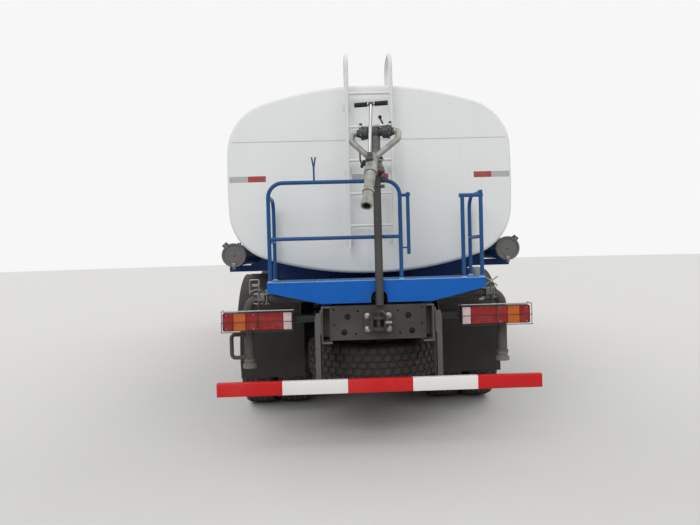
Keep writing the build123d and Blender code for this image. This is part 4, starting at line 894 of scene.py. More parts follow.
# Rings of wheel nuts: distance out from the hub, radius of the ring, and for both how many and how large
nutLook = {"rear": (0.0185, 0.168), "front": (0.0945, 0.129), "count": 10, "size": 0.0165}
dualCentre, dualHalf = 0.915, 0.17
frontTyreX = 1.011
axleHeight = tyreLook["radius"]


def tyreSection():
    # Half section from bead to crown: along, radius
    bead, half, floor = tyreLook["beadHalf"], tyreLook["halfWidth"], tyreLook["grooveFloor"]
    foot = [(bead, 0.256), (bead + 0.002, 0.274), (bead + 0.013, 0.279), (bead + 0.014, 0.288),
            (bead + 0.022, 0.296)]
    lower = mm(136.5, 318, 147.5, 352, 153.5, 380, 155.5, 384, 155.5, 390, 154.8, 394)
    upper = mm(156.5, 420, 154.5, 452, 155.6, 456, 155, 462, 152.2, 468, 149, 488, 144, 508, 137, 524, 126,
               538)
    crown = [(0.115, floor - 0.001), (0.06, floor + 0.001), (0.0, floor + 0.002)]
    return foot + lower + [(half - 0.001, 0.4)] + upper + crown


def treadBlock(bm, outline, low, high):
    # A block on the tread: outline in (across, around), set on the drum between two radii
    middle = Vector((sum(p[0] for p in outline) / len(outline), sum(p[1] for p in outline) / len(outline)))
    rings = []
    for radius, share in ((low, 1.0), (high - 0.002, 0.93), (high, 0.88)):
        ring = []
        for across, around in outline:
            spot = middle + (Vector((across, around)) - middle) * share
            drop = 0.5 * max(abs(spot.x) - 0.085, 0) ** 2 * 12
            angle = spot.y / tyreLook["radius"]
            ring.append(bm.verts.new((spot.x, (radius - drop) * math.sin(angle),
                                      (radius - drop) * math.cos(angle))))
        rings.append(ring)
    joinRings(bm, rings)
    bm.faces.new(rings[-1])


def tyreMesh():
    # One whole tyre about the origin with its axle along X
    half = tyreSection()
    bm = bmesh.new()
    profile = half + [(-a, r) for a, r in reversed(half[:-1])]
    addLathe(bm, profile, (0, 0, 0), alongX, tyreLook["sides"], closed=True)
    carcass = meshOf(bm, moved=False)
    carcass.materials.append(tyreRubber)
    pitch = 2 * math.pi * tyreLook["radius"] / tyreLook["pitches"]
    floor, top = tyreLook["grooveFloor"] - 0.004, tyreLook["radius"]
    unit = bmesh.new()
    for side in (-1, 1):
        lug = [(0.092, -0.36), (0.118, -0.4), (0.1345, -0.4), (0.1345, 0.3), (0.112, 0.34), (0.088, 0.24),
               (0.084, -0.1)]
        treadBlock(unit, [(side * a, side * b * pitch) for a, b in lug], floor - 0.012, top)
        block = [(0.03, -0.3), (0.06, -0.42), (0.078, -0.3), (0.076, 0.22), (0.05, 0.4), (0.028, 0.26)]
        treadBlock(unit, [(side * a, (side * b + 0.5) * pitch) for a, b in block], floor, top)
        # Rib on the shoulder
        ribs = ((0.506, ((0.1435, -0.16), (0.148, -0.1), (0.148, 0.1), (0.1435, 0.16))),
                (0.534, ((0.127, -0.2), (0.1345, -0.14), (0.1345, 0.14), (0.127, 0.2))))
        rings = []
        for radius, corners in ribs:
            turns = [(side * a, b * pitch / 0.52) for a, b in corners]
            rings.append([unit.verts.new((x, radius * math.sin(t), radius * math.cos(t))) for x, t in turns])
        joinRings(unit, rings, 0, True)
    centre = [(-0.022, -0.3), (0.0, -0.4), (0.022, -0.26), (0.022, 0.3), (0.0, 0.4), (-0.022, 0.26)]
    treadBlock(unit, [(a, b * pitch) for a, b in centre], floor, top)
    blocks = runTree(meshOf(unit, moved=False), aroundTree, tyreRubber, {"Count": tyreLook["pitches"]})
    return joinMeshes([carcass, blocks])


def placed(mesh, matrix):
    copy = mesh.copy()
    copy.transform(shiftToFrame @ matrix)
    return copy


def wheelNuts(out, axle, centre):
    # A ring of nuts on their studs about the wheel's axis
    unit = bmesh.new()
    (face, radius), count, size = nutLook[axle], nutLook["count"], nutLook["size"]
    spot = Vector((out * face, 0, radius))
    addLathe(unit, [(0, size * 1.25), (0.004, size * 1.2), (0.004, size)], spot, (out, 0, 0), 12)
    addLathe(unit, [(0.003, size), (0.017, size), (0.02, size * 0.82), (0.02, size * 0.5),
                    (0.034, size * 0.46), (0.036, 0)], spot, (out, 0, 0), 6)
    nuts = runTree(meshOf(unit, moved=False), aroundTree, wheelNutSteel,
                   {"Count": count, "Phase": math.pi / count})
    return placed(nuts, Matrix.Translation(centre))


def hubFace(out, centre, rearHub):
    # Cover plate with its ring of bolts on the end of a hub
    bm = bmesh.new()
    if rearHub:
        profile = mm(168, 94, 176, 94, 180, 90, 182, 60, 186, 52, 186, 0)
    else:
        profile = mm(140, 70, 156, 68, 172, 58, 178, 40, 180, 0)
    addLathe(bm, [(a * out, r) for a, r in profile], centre, alongX, 36)
    plate = meshOf(bm)
    plate.materials.append(rimPaint)
    bolts = bmesh.new()
    face, ring = (0.18, 0.077) if rearHub else (0.141, 0.08)
    addLathe(bolts, mm(0, 8.5, 6, 8.5, 7, 6, 7, 0), (out * face, 0, ring), (out, 0, 0), 6)
    made = runTree(meshOf(bolts, moved=False), aroundTree, wheelNutSteel, {"Count": 10})
    return [plate, placed(made, Matrix.Translation(centre))]


def makeWheels():
    tyre = tyreMesh()
    for name, y in rearAxles:
        for side, label in bothSides:
            centre = Vector((side * dualCentre, y, axleHeight))
            body = f"wheel_{name}_{label}"
            pair = [placed(tyre, Matrix.Translation(centre + Vector((step * dualHalf, 0,
                    0))) @ Matrix.Rotation(step, 4, "X")) for step in (-1, 1)]
            addCopies(f"{name}_tyre_pair_{label}", pair, body, f"{name}_tyres_{label}", 28)
            nuts = wheelNuts(side, "rear", centre)
            addCopies(f"{name}_hub_cover_{label}", [nuts] + hubFace(side, centre, True), body)
            paintNodes(rimPaint, f"{name}_rims_{label}")
    for side, label in bothSides:
        centre = Vector((side * frontTyreX, frontAxle, axleHeight))
        body = f"wheel_front_{label}"
        one = placed(tyre, Matrix.Translation(centre))
        addCopies(f"front_tyre_tread_{label}", one, body, f"front_tyre_{label}", 28)
        nuts = wheelNuts(side, "front", centre)
        addCopies(f"front_hub_cover_{label}", [nuts] + hubFace(side, centre, False), body)
        paintNodes(rimPaint, f"front_rim_{label}")
    lying = Matrix.Translation((0, -3.81, 0.62)) @ Matrix.Rotation(math.radians(90), 4, "Y")
    spare = placed(tyre, lying)
    spare.materials.clear()
    spare.materials.append(spareRubber)
    addCopies("spare_tyre_tread", spare, "chassis", "spare_tyre", 28)
    paintNodes(rimPaint, "spare_rim")


wheelNutSteel = brushed("greased wheel nut steel", (0.22, 0.2, 0.18), 0.45, (5, 5, 5))
makeWheels()
print("wheels ready")


# Underrun bar, tail lamps, end plate and platform at the back

barLook = {
    "half": 1.2,
    "blocks": 5,
    "low": 0.47,
    "high": 0.57,
    "rear": -4.6,
    "depth": 0.05,
    "corner": 0.006,
    "bracketX": (0.425, 0.435),
    "flangeX": (0.425, 0.473),
}


def addSweepX(bm, section, stations, mats):
    # A closed section in Y and Z drawn along X, with a material for each span
    rings = [[bm.verts.new((x, y, z)) for y, z in section] for x in stations]
    for n, mat in enumerate(mats):
        joinRings(bm, rings[n:n + 2], mat)
    bm.faces.new(rings[0]).material_index = mats[0]
    bm.faces.new(rings[-1]).material_index = mats[-1]


def makeUnderrun():
    bm = bmesh.new()
    look = barLook
    section = roundedBox((look["rear"], look["low"]), (look["rear"] + look["depth"], look["high"]),
                         look["corner"])
    width = 2 * look["half"] / look["blocks"]
    stations = [-look["half"] + 0.002] + [-look["half"] + width * n
                                          for n in range(1, look["blocks"])] + [look["half"] - 0.002]
    addSweepX(bm, section, stations, [n % 2 for n in range(look["blocks"])])
    front = look["rear"] + look["depth"]
    side = [(front, 0.478), (front + 0.062, 0.478), (front + 0.21, 0.83), (front + 0.21, 1.075),
            (front + 0.03, 1.075), (front, 0.9)]
    for sign in (-1, 1):
        addPrism(bm, side, "x", *(sign * x for x in look["bracketX"]), 0.0015, 2)
        low, high = sorted(sign * x for x in look["flangeX"])
        addPrism(bm, [(low, 0.478), (high, 0.478), (high, 1.02), (high - (high - low) * 0.25, 1.06),
                      (low + (high - low) * 0.25, 1.06), (low, 1.02)], "y", front, front + 0.008, 0.0015, 2)
        for z in (0.505, 0.535):
            addTube(bm, [(sign * 0.436, front + 0.009, z), (sign * 0.47, front + 0.009, z)], 0.003, sides=6,
                    mat=2)
    addPiece("underrun_blocks", bm, [barRed, barWhite, bracketSteel], "chassis", "underrun_bar",
             30)
    bolts = [(sign * 0.4355, front + y, z) for sign in (-1, 1) for y in (0.09, 0.165) for z in (0.93, 1.03)]
    facing = [(1 if x > 0 else -1, 0, 0) for x, y, z in bolts]
    addBolts("underrun_bolts", bolts, facing, (0.011, 0.009, 0.017, 0.006))


lampLook = {
    "inner": 0.645,
    "outer": 1.172,
    "low": 0.93,
    "high": 1.066,
    "rear": -4.45,
    "front": -4.37,
    "rim": 0.004,
    "lensRise": 0.01,
    "sections": (("red", 0.15), ("amber", 0.18), ("red", 0.545), ("clear", 0.125)),
}


def makeTailLamps():
    # Lens sections run from the outer end inwards
    mats = {"red": 1, "amber": 2, "clear": 3}
    for side, label in bothSides:
        bm = bmesh.new()
        look = lampLook
        rear, front = look["rear"] + look["lensRise"], look["front"]
        addBox(bm, (look["inner"], rear + 0.004, look["low"]), (look["outer"], front, look["high"]), 0.008)
        edge = look["rim"]
        span = look["outer"] - look["inner"] - 2 * edge
        x = look["outer"] - edge
        low, high = look["low"] + edge, look["high"] - edge
        for color, share in look["sections"]:
            width = span * share
            addBox(bm, (x - width + 0.0012, look["rear"], low), (x - 0.0012, rear + 0.012, high), 0.0045,
                   mats[color], 3)
            x -= width
        # Rim round the lenses and the seam between the two shells
        rim = roundedBox((look["inner"], look["low"]), (look["outer"], look["high"]), 0.012, 4)
        inner = roundedBox((look["inner"] + edge, low), (look["outer"] - edge, high), 0.006, 4)
        layers = ((rim, rear + 0.006), (rim, rear - 0.002), (inner, rear - 0.003), (inner, rear + 0.004))
        rings = [[bm.verts.new((px, y, pz)) for px, pz in loop] for loop, y in layers]
        joinRings(bm, rings)
        for px in (look["inner"] + 0.03, look["outer"] - 0.03, (look["inner"] + look["outer"]) / 2 + 0.03):
            for pz in (low + 0.012, high - 0.012):
                addLathe(bm, mm(0, 4.8, 3, 4.8, 4, 3, 4, 0), (px, look["rear"] + 0.0006, pz), (0, -1, 0), 10,
                         4)
        # Back shell ribs
        for step in range(5):
            px = look["inner"] + 0.06 + step * 0.1
            addBox(bm, (px, front - 0.001, look["low"] + 0.012),
                   (px + 0.006, front + 0.006, look["high"] - 0.012), 0.0015, 0, 1)
        onSide(bm, side)
        addPiece(f"tail_lamp_lenses_{label}", bm, [blackPlastic, lensRed, lensAmber, lensClear, boltSteel],
                 "chassis", "tail_lamps" if side > 0 else None, 30)


plateLook = {"face": -4.5, "couplingZ": 0.975, "boltX": 0.08, "boltZ": 0.05}
deckLook = {"height": 1.29, "rear": -4.48, "half": 0.822, "lugStep": 0.04, "lugs": (40, 9), "lugLength": 0.03,
            "lugWidth": 0.0075, "lugHeight": 0.0014}


def makeEndPlateFittings():
    # Round bolts of the coupling, and the locking lever of its pin with a bright grip
    face, z = plateLook["face"], plateLook["couplingZ"]
    bm = bmesh.new()
    for x in (-plateLook["boltX"], plateLook["boltX"]):
        for dz in (-plateLook["boltZ"], plateLook["boltZ"]):
            addLathe(bm, mm(-1, 23.5, 3, 23.5, 4.5, 21, 5.5, 19, 12.5, 15.5, 16, 8, 16.5, 0),
                     (x, face - 0.018, z + dz), backwards, 18)
    addTube(bm, [(0.0, face - 0.058, z + 0.088), (0.03, face - 0.066, z + 0.088),
                 (0.062, face - 0.072, z + 0.05), (0.066, face - 0.074, z + 0.012)], 0.006, 0.012, 10, 1)
    addRod(bm, (0.048, face - 0.074, z + 0.004), (0.098, face - 0.074, z + 0.004), 0.012, 16)
    addPiece("coupling_fasteners", bm, [boltSteel, plateBolt], "chassis")


def lugUnit(outline, spot, low, high, share):
    # A raised lug of a tread plate: its outline, drawn in at the top by a share along and by 0.6 across
    bm = bmesh.new()
    layers = ((1, 1, low), (share, 0.6, high))
    rings = [[bm.verts.new((spot[0] + x * a, spot[1] + y * b, z)) for x, y in outline] for a, b, z in layers]
    joinRings(bm, rings)
    bm.faces.new(rings[1])
    return bm


def makePlatformDetail():
    # Tread lugs on the deck, and a folded edge and weld fillets under the rails' feet in a paler blue, for
    # worn paint and as a painted highlight of the lit top edge
    deck, rear, half, step = deckLook["height"], deckLook["rear"], deckLook["half"], deckLook["lugStep"]
    length, wide = deckLook["lugLength"], deckLook["lugWidth"]
    outline = [(-length / 2, 0), (-length / 4, wide / 2), (length / 4, wide / 2), (length / 2, 0),
               (length / 4, -wide / 2), (-length / 4, -wide / 2)]
    turn = Matrix.Rotation(math.radians(45), 2)
    unit = lugUnit([turn @ Vector(p) for p in outline], (-0.79, -4.44), deck - 0.0005,
                   deck + deckLook["lugHeight"], 0.75)
    first = gridMesh(unit, *deckLook["lugs"], (step, 0, 0), (0, step, 0), treadBlue)
    second = first.copy()
    second.transform(Matrix.Translation((step / 2, step / 2, 0)))
    # The second set leans the other way
    middle = Matrix.Translation((0, truckMiddle - 4.26, 0))
    second.transform(middle @ Matrix.Scale(-1, 4, alongX) @ middle.inverted())
    bmSecond = bmesh.new()
    bmSecond.from_mesh(second)
    bmesh.ops.recalc_face_normals(bmSecond, faces=bmSecond.faces)
    bmSecond.to_mesh(second)
    bmSecond.free()
    addCopies("platform_tread_lugs", [first, second], "chassis", smoothAngle=20)
    # Worn sheet between the lugs
    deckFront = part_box("rear_platform")[1].y - truckMiddle
    sheet = bmesh.new()
    addBox(sheet, (-half, rear + 0.0015, deck - 0.001), (half, deckFront - 0.002, deck + 0.0004), 0.0002, 0,
           1)
    addPiece("platform_deck_sheet", sheet, dustyDeck, "chassis")
    edge = bmesh.new()
    ends = [(x, rear + 0.001, deck - 0.001) for x in (-half - 0.001, half + 0.001)]
    addTube(edge, ends, 0.0035, sides=10)
    for x, y in ((-0.8, -4.465), (0.19, -4.465), (0.664, -4.465), (0.804, -4.465), (-0.8, -4.1),
                 (0.804, -4.1)):
        addLathe(edge, mm(-0.5, 26, 3, 24, 7, 19, 12, 15.5), (x, y, deck), upwards, 20)
    addPiece("platform_edge_and_welds", edge, wornAndHighlightBlue, "chassis")
    # U-clamp that ties the riser to the hoop's top tube
    clamp = bmesh.new()
    z = 1.992
    bend = [(0.016 + 0.0345 * math.cos(math.pi * i / 12), -4.514 - 0.0345 * math.sin(math.pi * i / 12), z)
            for i in range(13)]
    addTube(clamp, [(0.0505, -4.466, z)] + bend + [(-0.0185, -4.466, z)], 0.005, sides=10)
    addBox(clamp, (-0.045, -4.487, z - 0.014), (0.077, -4.481, z + 0.014), 0.002)
    for x in (0.0505, -0.0185):
        addLathe(clamp, mm(0, 9.5, 8, 9.5, 8, 0), (x, -4.481, z), alongY, 6)
    addBox(clamp, (-0.01, -4.487, z), (0.042, -4.483, 2.03), 0.001)
    addPiece("riser_clamp", clamp, plateBolt, "chassis")


plateBolt = brushed("dull frame bolt steel", (0.16, 0.14, 0.13), 0.5, (4, 4, 4))
treadBlue = paint("blue deck tread", (0.05, 0.14, 0.34), 0.75, mottle=0.1, dirt=0.3, shine=0)
dustyDeck = paint("dusty blue deck sheet", (0.11, 0.17, 0.3), 0.8, mottle=0.2, dirt=0.5, shine=0)
# Paler blue of the deck's edge and welds: worn paint, and a painted highlight where the top edge catches
# light
wornAndHighlightBlue = paint("worn blue edge with painted highlight", (0.16, 0.3, 0.52), 0.45, mottle=0.25, dirt=0.3, chips=0.8,
                 chipColor=(0.45, 0.47, 0.48))
makeUnderrun()
makeTailLamps()
makeEndPlateFittings()
makePlatformDetail()
paintNodes(bluePaint, "rear_platform")
paintNodes(railBlue, "platform_rails", "gate_bar", "hose_tubes")
paintNodes(riserPaint, "riser")
paintNodes(ladderPaint, "ladder")
paintNodes(plateSteel, "frame_end_plate")
paintNodes(chassisPaint, "frame_rails", "frame_crossmembers")
paintNodes(saddleBlue, "tank_saddles")
print("back of the truck ready")


# Water cannon on its riser

cannonLook = {
    "column": (0.016, -4.514),
    "yaw": -14.0,
    "height": 2.39,
    "lean": 53.0,
    "merge": 0.275,
    "barrel": 0.45,
    "armReach": 0.174,
    "armRadius": 0.022,
    "handleHeight": 2.573,
    "boltCount": 6,
}
cannonPlace = Matrix.Translation((*cannonLook["column"],
                                  0)) @ Matrix.Rotation(math.radians(cannonLook["yaw"]), 4, "Z")


def starOutline(lobes, low, high, centre):
    # A lobed outline between two radii
    points = []
    for a, b in circle(lobes * 6, 1.0):
        radius = low + (high - low) * (0.5 + 0.5 * math.cos(lobes * math.atan2(b, a)))
        points.append((centre[0] + radius * a, centre[1] + radius * b))
    return points


def makeCannonHead():
    bm = bmesh.new()
    top = cannonLook["height"]
    up = upwards
    # Foot flange and neck, lock ring, cap, then the swivel housing
    addLathe(bm, mm(2096, 0, 2096, 60.5, 2097.5, 62, 2108.5, 62, 2110, 60.5, 2110, 56, 2118, 57.5, 2130, 55.5,
                    2145, 47, 2160, 42.5, 2176, 42.5), (0, 0, 0), up, 40, 1)
    addLathe(bm, mm(2174, 42, 2175.5, 53.5, 2176.5, 54, 2185, 54, 2186, 52.5), (0, 0, 0), up, 40, 2)
    addLathe(bm, mm(2186, 52.5, 2187, 54, 2199, 54, 2203, 51, 2205, 45), (0, 0, 0), up, 40, 3)
    addLathe(bm, [(2.204, 0.0455), (2.212, 0.0455), (2.213, 0.044), (2.216, 0.044), (2.217, 0.0455),
                  (2.226, 0.046), (2.23, 0.0435), (2.255, 0.0355), (2.262, 0.034), (top - 0.03, 0.034)],
             (0, 0, 0), up, 40, 1)
    # Cross body with its collars, grooves and end bosses
    half = mm(0, 44.5, 22, 44.5, 26, 40, 30, 31, 50, 31, 53, 44, 55, 47, 87, 47, 88, 51, 89.5, 52, 102.5, 52,
              104, 50.5, 104, 37, 106, 36, 120.5, 36, 122, 34.5, 122, 0)
    for side in (-1, 1):
        addLathe(bm, half, (0, 0, top), (side, 0, 0), 40)
    # Bright top plate, bevelled, and a dark screw standing at each end of it
    addBox(bm, (-0.124, -0.017, top + 0.036), (0.124, 0.017, top + 0.056), 0.004, 2, 3)
    for x in (-0.111, 0.111):
        addLathe(bm, mm(0, 7.5, 6, 7.5, 6.5, 11.5, 16.5, 11.5, 18, 10, 18, 0), (x, 0, top + 0.0555), up, 18)
    addTube(bm, [(-0.06, 0.0, top + 0.0568), (0.06, 0.0, top + 0.0568)], 0.0022, sides=8)
    # Swivel lock: spindle, lever and star grip
    addRod(bm, (-0.04, 0, 2.165), (-0.112, 0, 2.165), 0.011, 16)
    addBox(bm, (-0.118, -0.008, 2.146), (-0.082, 0.008, 2.158), 0.002)
    addLathe(bm, mm(0, 13, 10, 13, 10, 0), (-0.048, 0, 2.165), (-1, 0, 0), 6, 4)
    addPrism(bm, starOutline(5, 0.013, 0.0215, (0, 2.172)), "x", -0.102, -0.08, 0.0022, 3)
    addTube(bm, [(-0.105, 0, 2.14), (-0.114, 0, 2.17), (-0.121, 0, 2.196), (-0.122, 0, 2.245)], 0.0062, 0.01,
            12)
    addBall(bm, (-0.108, -0.004, 2.144), 0.0135, 16, 3)
    # Lift lock with its black ball
    addTube(bm, [(0.06, 0, top + 0.03), (0.058, 0.002, top + 0.06), (0.036, 0.01, 2.492)], 0.0072, 0.02, 12)
    addLathe(bm, mm(0, 11, 9, 11, 12, 7, 12, 0), (0.06, 0.0, top + 0.044), up, 6, 4)
    addBall(bm, (0.035, 0.01, 2.503), 0.0148, 20, 3)
    bm.transform(cannonPlace)
    addPiece("cannon_head_casting", bm, [darkCast, neckPaint, brightSteel, blackPlastic, boltSteel],
             "cannon_head", "cannon_head", 32)
    spots, aims = [], []
    for side in (-1, 1):
        for a, b in circle(cannonLook["boltCount"], 0.0445, 0.5):
            spots.append(cannonPlace @ Vector((side * 0.104, a, top + b)))
            aims.append(cannonPlace.to_3x3() @ Vector((side, 0, 0)))
    for a, b in circle(cannonLook["boltCount"], 0.0565):
        spots.append(cannonPlace @ Vector((a, b, 2.11)))
        aims.append(upwards)
    addBolts("cannon_head_bolts", spots, aims, (0.0048, 0.0045, 0.0055, 0.003), "cannon_head")


def makeCannonBarrel():
    bm = bmesh.new()
    look = cannonLook
    lean = math.radians(look["lean"])
    ahead = Vector((0, -math.cos(lean), -math.sin(lean)))
    over = Vector((0, -math.sin(lean), math.cos(lean)))
    pivot = Vector((0, 0, look["height"]))
    merge = pivot + ahead * look["merge"]
    reach = look["armReach"]
    for side in (-1, 1):
        start = pivot + Vector((side * 0.123, 0, 0))
        out = pivot + Vector((side * reach, 0, 0))
        addTube(bm, [start, out, out + ahead * 0.086, merge + Vector((side * 0.012, 0, 0))],
                look["armRadius"], 0.0268, 20, 0, 8)
        # Union nut and the ring behind it
        addLathe(bm, mm(0, 26, 1, 29.5, 14, 29.5, 16, 27, 16, 20), start, (side, 0, 0), 6, 1)
        addLathe(bm, mm(16, 24.5, 17.5, 26, 20.5, 26, 22, 24.5, 22, 20), start, (side, 0, 0), 24, 2)
        # Weld bead where the arm meets the barrel's root
        weld = merge + Vector((side * 0.033, 0, 0)) - ahead * 0.022
        addLoop(bm, [weld + Vector((0, a, b)) for a, b in circle(14, 0.0235)], 0.0032)
    body = mm(-34, 0, -34, 30, -30, 34, -20, 39.8, 95, 43)
    collar = mm(94, 42, 101, 45.5, 103, 46.5, 146, 46.5, 148, 45)
    ring = mm(116, 46.3, 117, 45, 122, 45, 123, 46.3)
    second = mm(148, 45, 148, 41, 152, 39, 298, 34.2)
    nut = mm(300, 34.5, 306, 39.5, 308, 41, 328, 41, 330, 39.5, 330, 36.5)
    end = look["barrel"]
    last = [(0.33, 0.0365), (0.332, 0.035), (end - 0.027, 0.037), (end - 0.022, 0.04), (end - 0.0015, 0.04),
            (end, 0.0385), (end, 0.0285), (end - 0.002, 0.028)]
    bore = [(end - 0.001, 0.0283), (end - 0.05, 0.0262), (end - 0.11, 0.024), (end - 0.11, 0)]
    # The bore takes the dark cast as painted shade inside the nozzle
    for profile, mat in ((body, 0), (collar, 0), (ring, 1), (second, 0), (nut, 0), (last, 0), (bore, 1)):
        addLathe(bm, profile, merge, ahead, 40, mat)
    # Dark ring lines at the lower ends of the stages
    for along, radius in ((0.149, 0.0412), (0.2985, 0.0352), (0.3312, 0.0366), (end - 0.0235, 0.0388)):
        addLathe(bm, [(-0.0025, radius - 0.002), (-0.0015, radius), (0.0015, radius),
                      (0.0025, radius - 0.002)], merge + ahead * along, ahead, 40, 1)
    for a, b in circle(12, 0.0395):
        # Knurling lugs of the nozzle nut
        spot = merge + ahead * 0.309 + Vector((a, 0, 0)) + over * b
        addRod(bm, spot, spot + ahead * 0.018, 0.0035, 8)
    # Lift handle: knuckle with its bolt, bright stem, cross bar and ribbed grips
    foot = merge + ahead * 0.045 + over * 0.043 + Vector((-0.009, 0, 0))
    level = look["handleHeight"]
    head = Vector((-0.009, -0.11, level))
    across = Vector(alongX)
    addRod(bm, foot - across * 0.024, foot + across * 0.024, 0.021, 28, 1, 0.003)
    for side in (-1, 1):
        addLathe(bm, mm(0, 11, 6, 11, 7, 9, 7, 0), foot + Vector((side * 0.0235, 0, 0)), (side, 0, 0), 6, 4)
    along = (head - foot).normalized()
    addRod(bm, foot, head, 0.0128, 18, 2)
    addRod(bm, foot + along * 0.015, foot + along * 0.045, 0.0165, 18, 1)
    addRod(bm, head - across * 0.047, head + across * 0.047, 0.0098, 16, 2)
    addRod(bm, head - across * 0.018, head + across * 0.018, 0.0155, 18, 1)
    grip = mm(27, 0, 27, 15.5, 28.5, 17.5)
    for n in range(8):
        x = 0.034 + n * 0.0105
        grip += [(x, 0.0175), (x + 0.002, 0.0158), (x + 0.005, 0.0158), (x + 0.007, 0.0175)]
    grip += mm(120.5, 17.5, 122, 15.8, 122, 0)
    for side in (-1, 1):
        addLathe(bm, grip, head, (side, 0, 0), 24, 5)
    bm.transform(cannonPlace)
    addPiece("cannon_barrel_and_arms", bm, [cannonMetal, darkCast, brightSteel, blackPlastic, boltSteel,
                                            gripRubber], "cannon_barrel", "cannon_barrel", 32)


def makeRiserFittings():
    # Dark red flange with its bolts, and the column's weld rings
    bm = bmesh.new()
    x, y = cannonLook["column"]
    addLathe(bm, mm(2079.5, 30, 2079.5, 60, 2081, 62.4, 2093.5, 62.4, 2094.8, 61, 2094.8, 30), (x, y, 0),
             (0, 0, 1), 40)
    addLathe(bm, mm(2060, 30.2, 2066, 34, 2074, 36, 2080, 41), (x, y, 0), upwards, 32)
    for z in (1.3, 1.62):
        addLathe(bm, [(z - 0.004, 0.03), (z - 0.002, 0.0322), (z + 0.002, 0.0322), (z + 0.004, 0.03)],
                 (x, y, 0), upwards, 32, 1)
    addPiece("riser_flange", bm, [rustyFlange, riserPaint], "chassis")
    spots = [(x + a, y + b, 2.0795) for a, b in circle(cannonLook["boltCount"], 0.05, 0.5)]
    addBolts("riser_flange_bolts", spots, (0, 0, -1), (0.0072, 0.007, 0.01, 0.006))


neckPaint = cast("grey cannon neck", (0.16, 0.165, 0.16), 0.5, 0.4, 0.3)
rustyFlange = cast("dark red flange", (0.1, 0.024, 0.026), 0.75, 0.2)
makeCannonHead()
makeCannonBarrel()
makeRiserFittings()
print("cannon ready")


# Spray pipes, valves, hose tubes and mudguards

pipeLook = {
    "rear": -4.28,
    "height": 1.16,
    "outletX": 1.0,
    "radius": 0.038,
    "bend": 0.1,
    "valveX": 0.905,
    "studCircle": 0.052,
    "outletLow": 0.62,
    "outletJoint": 0.69,
}


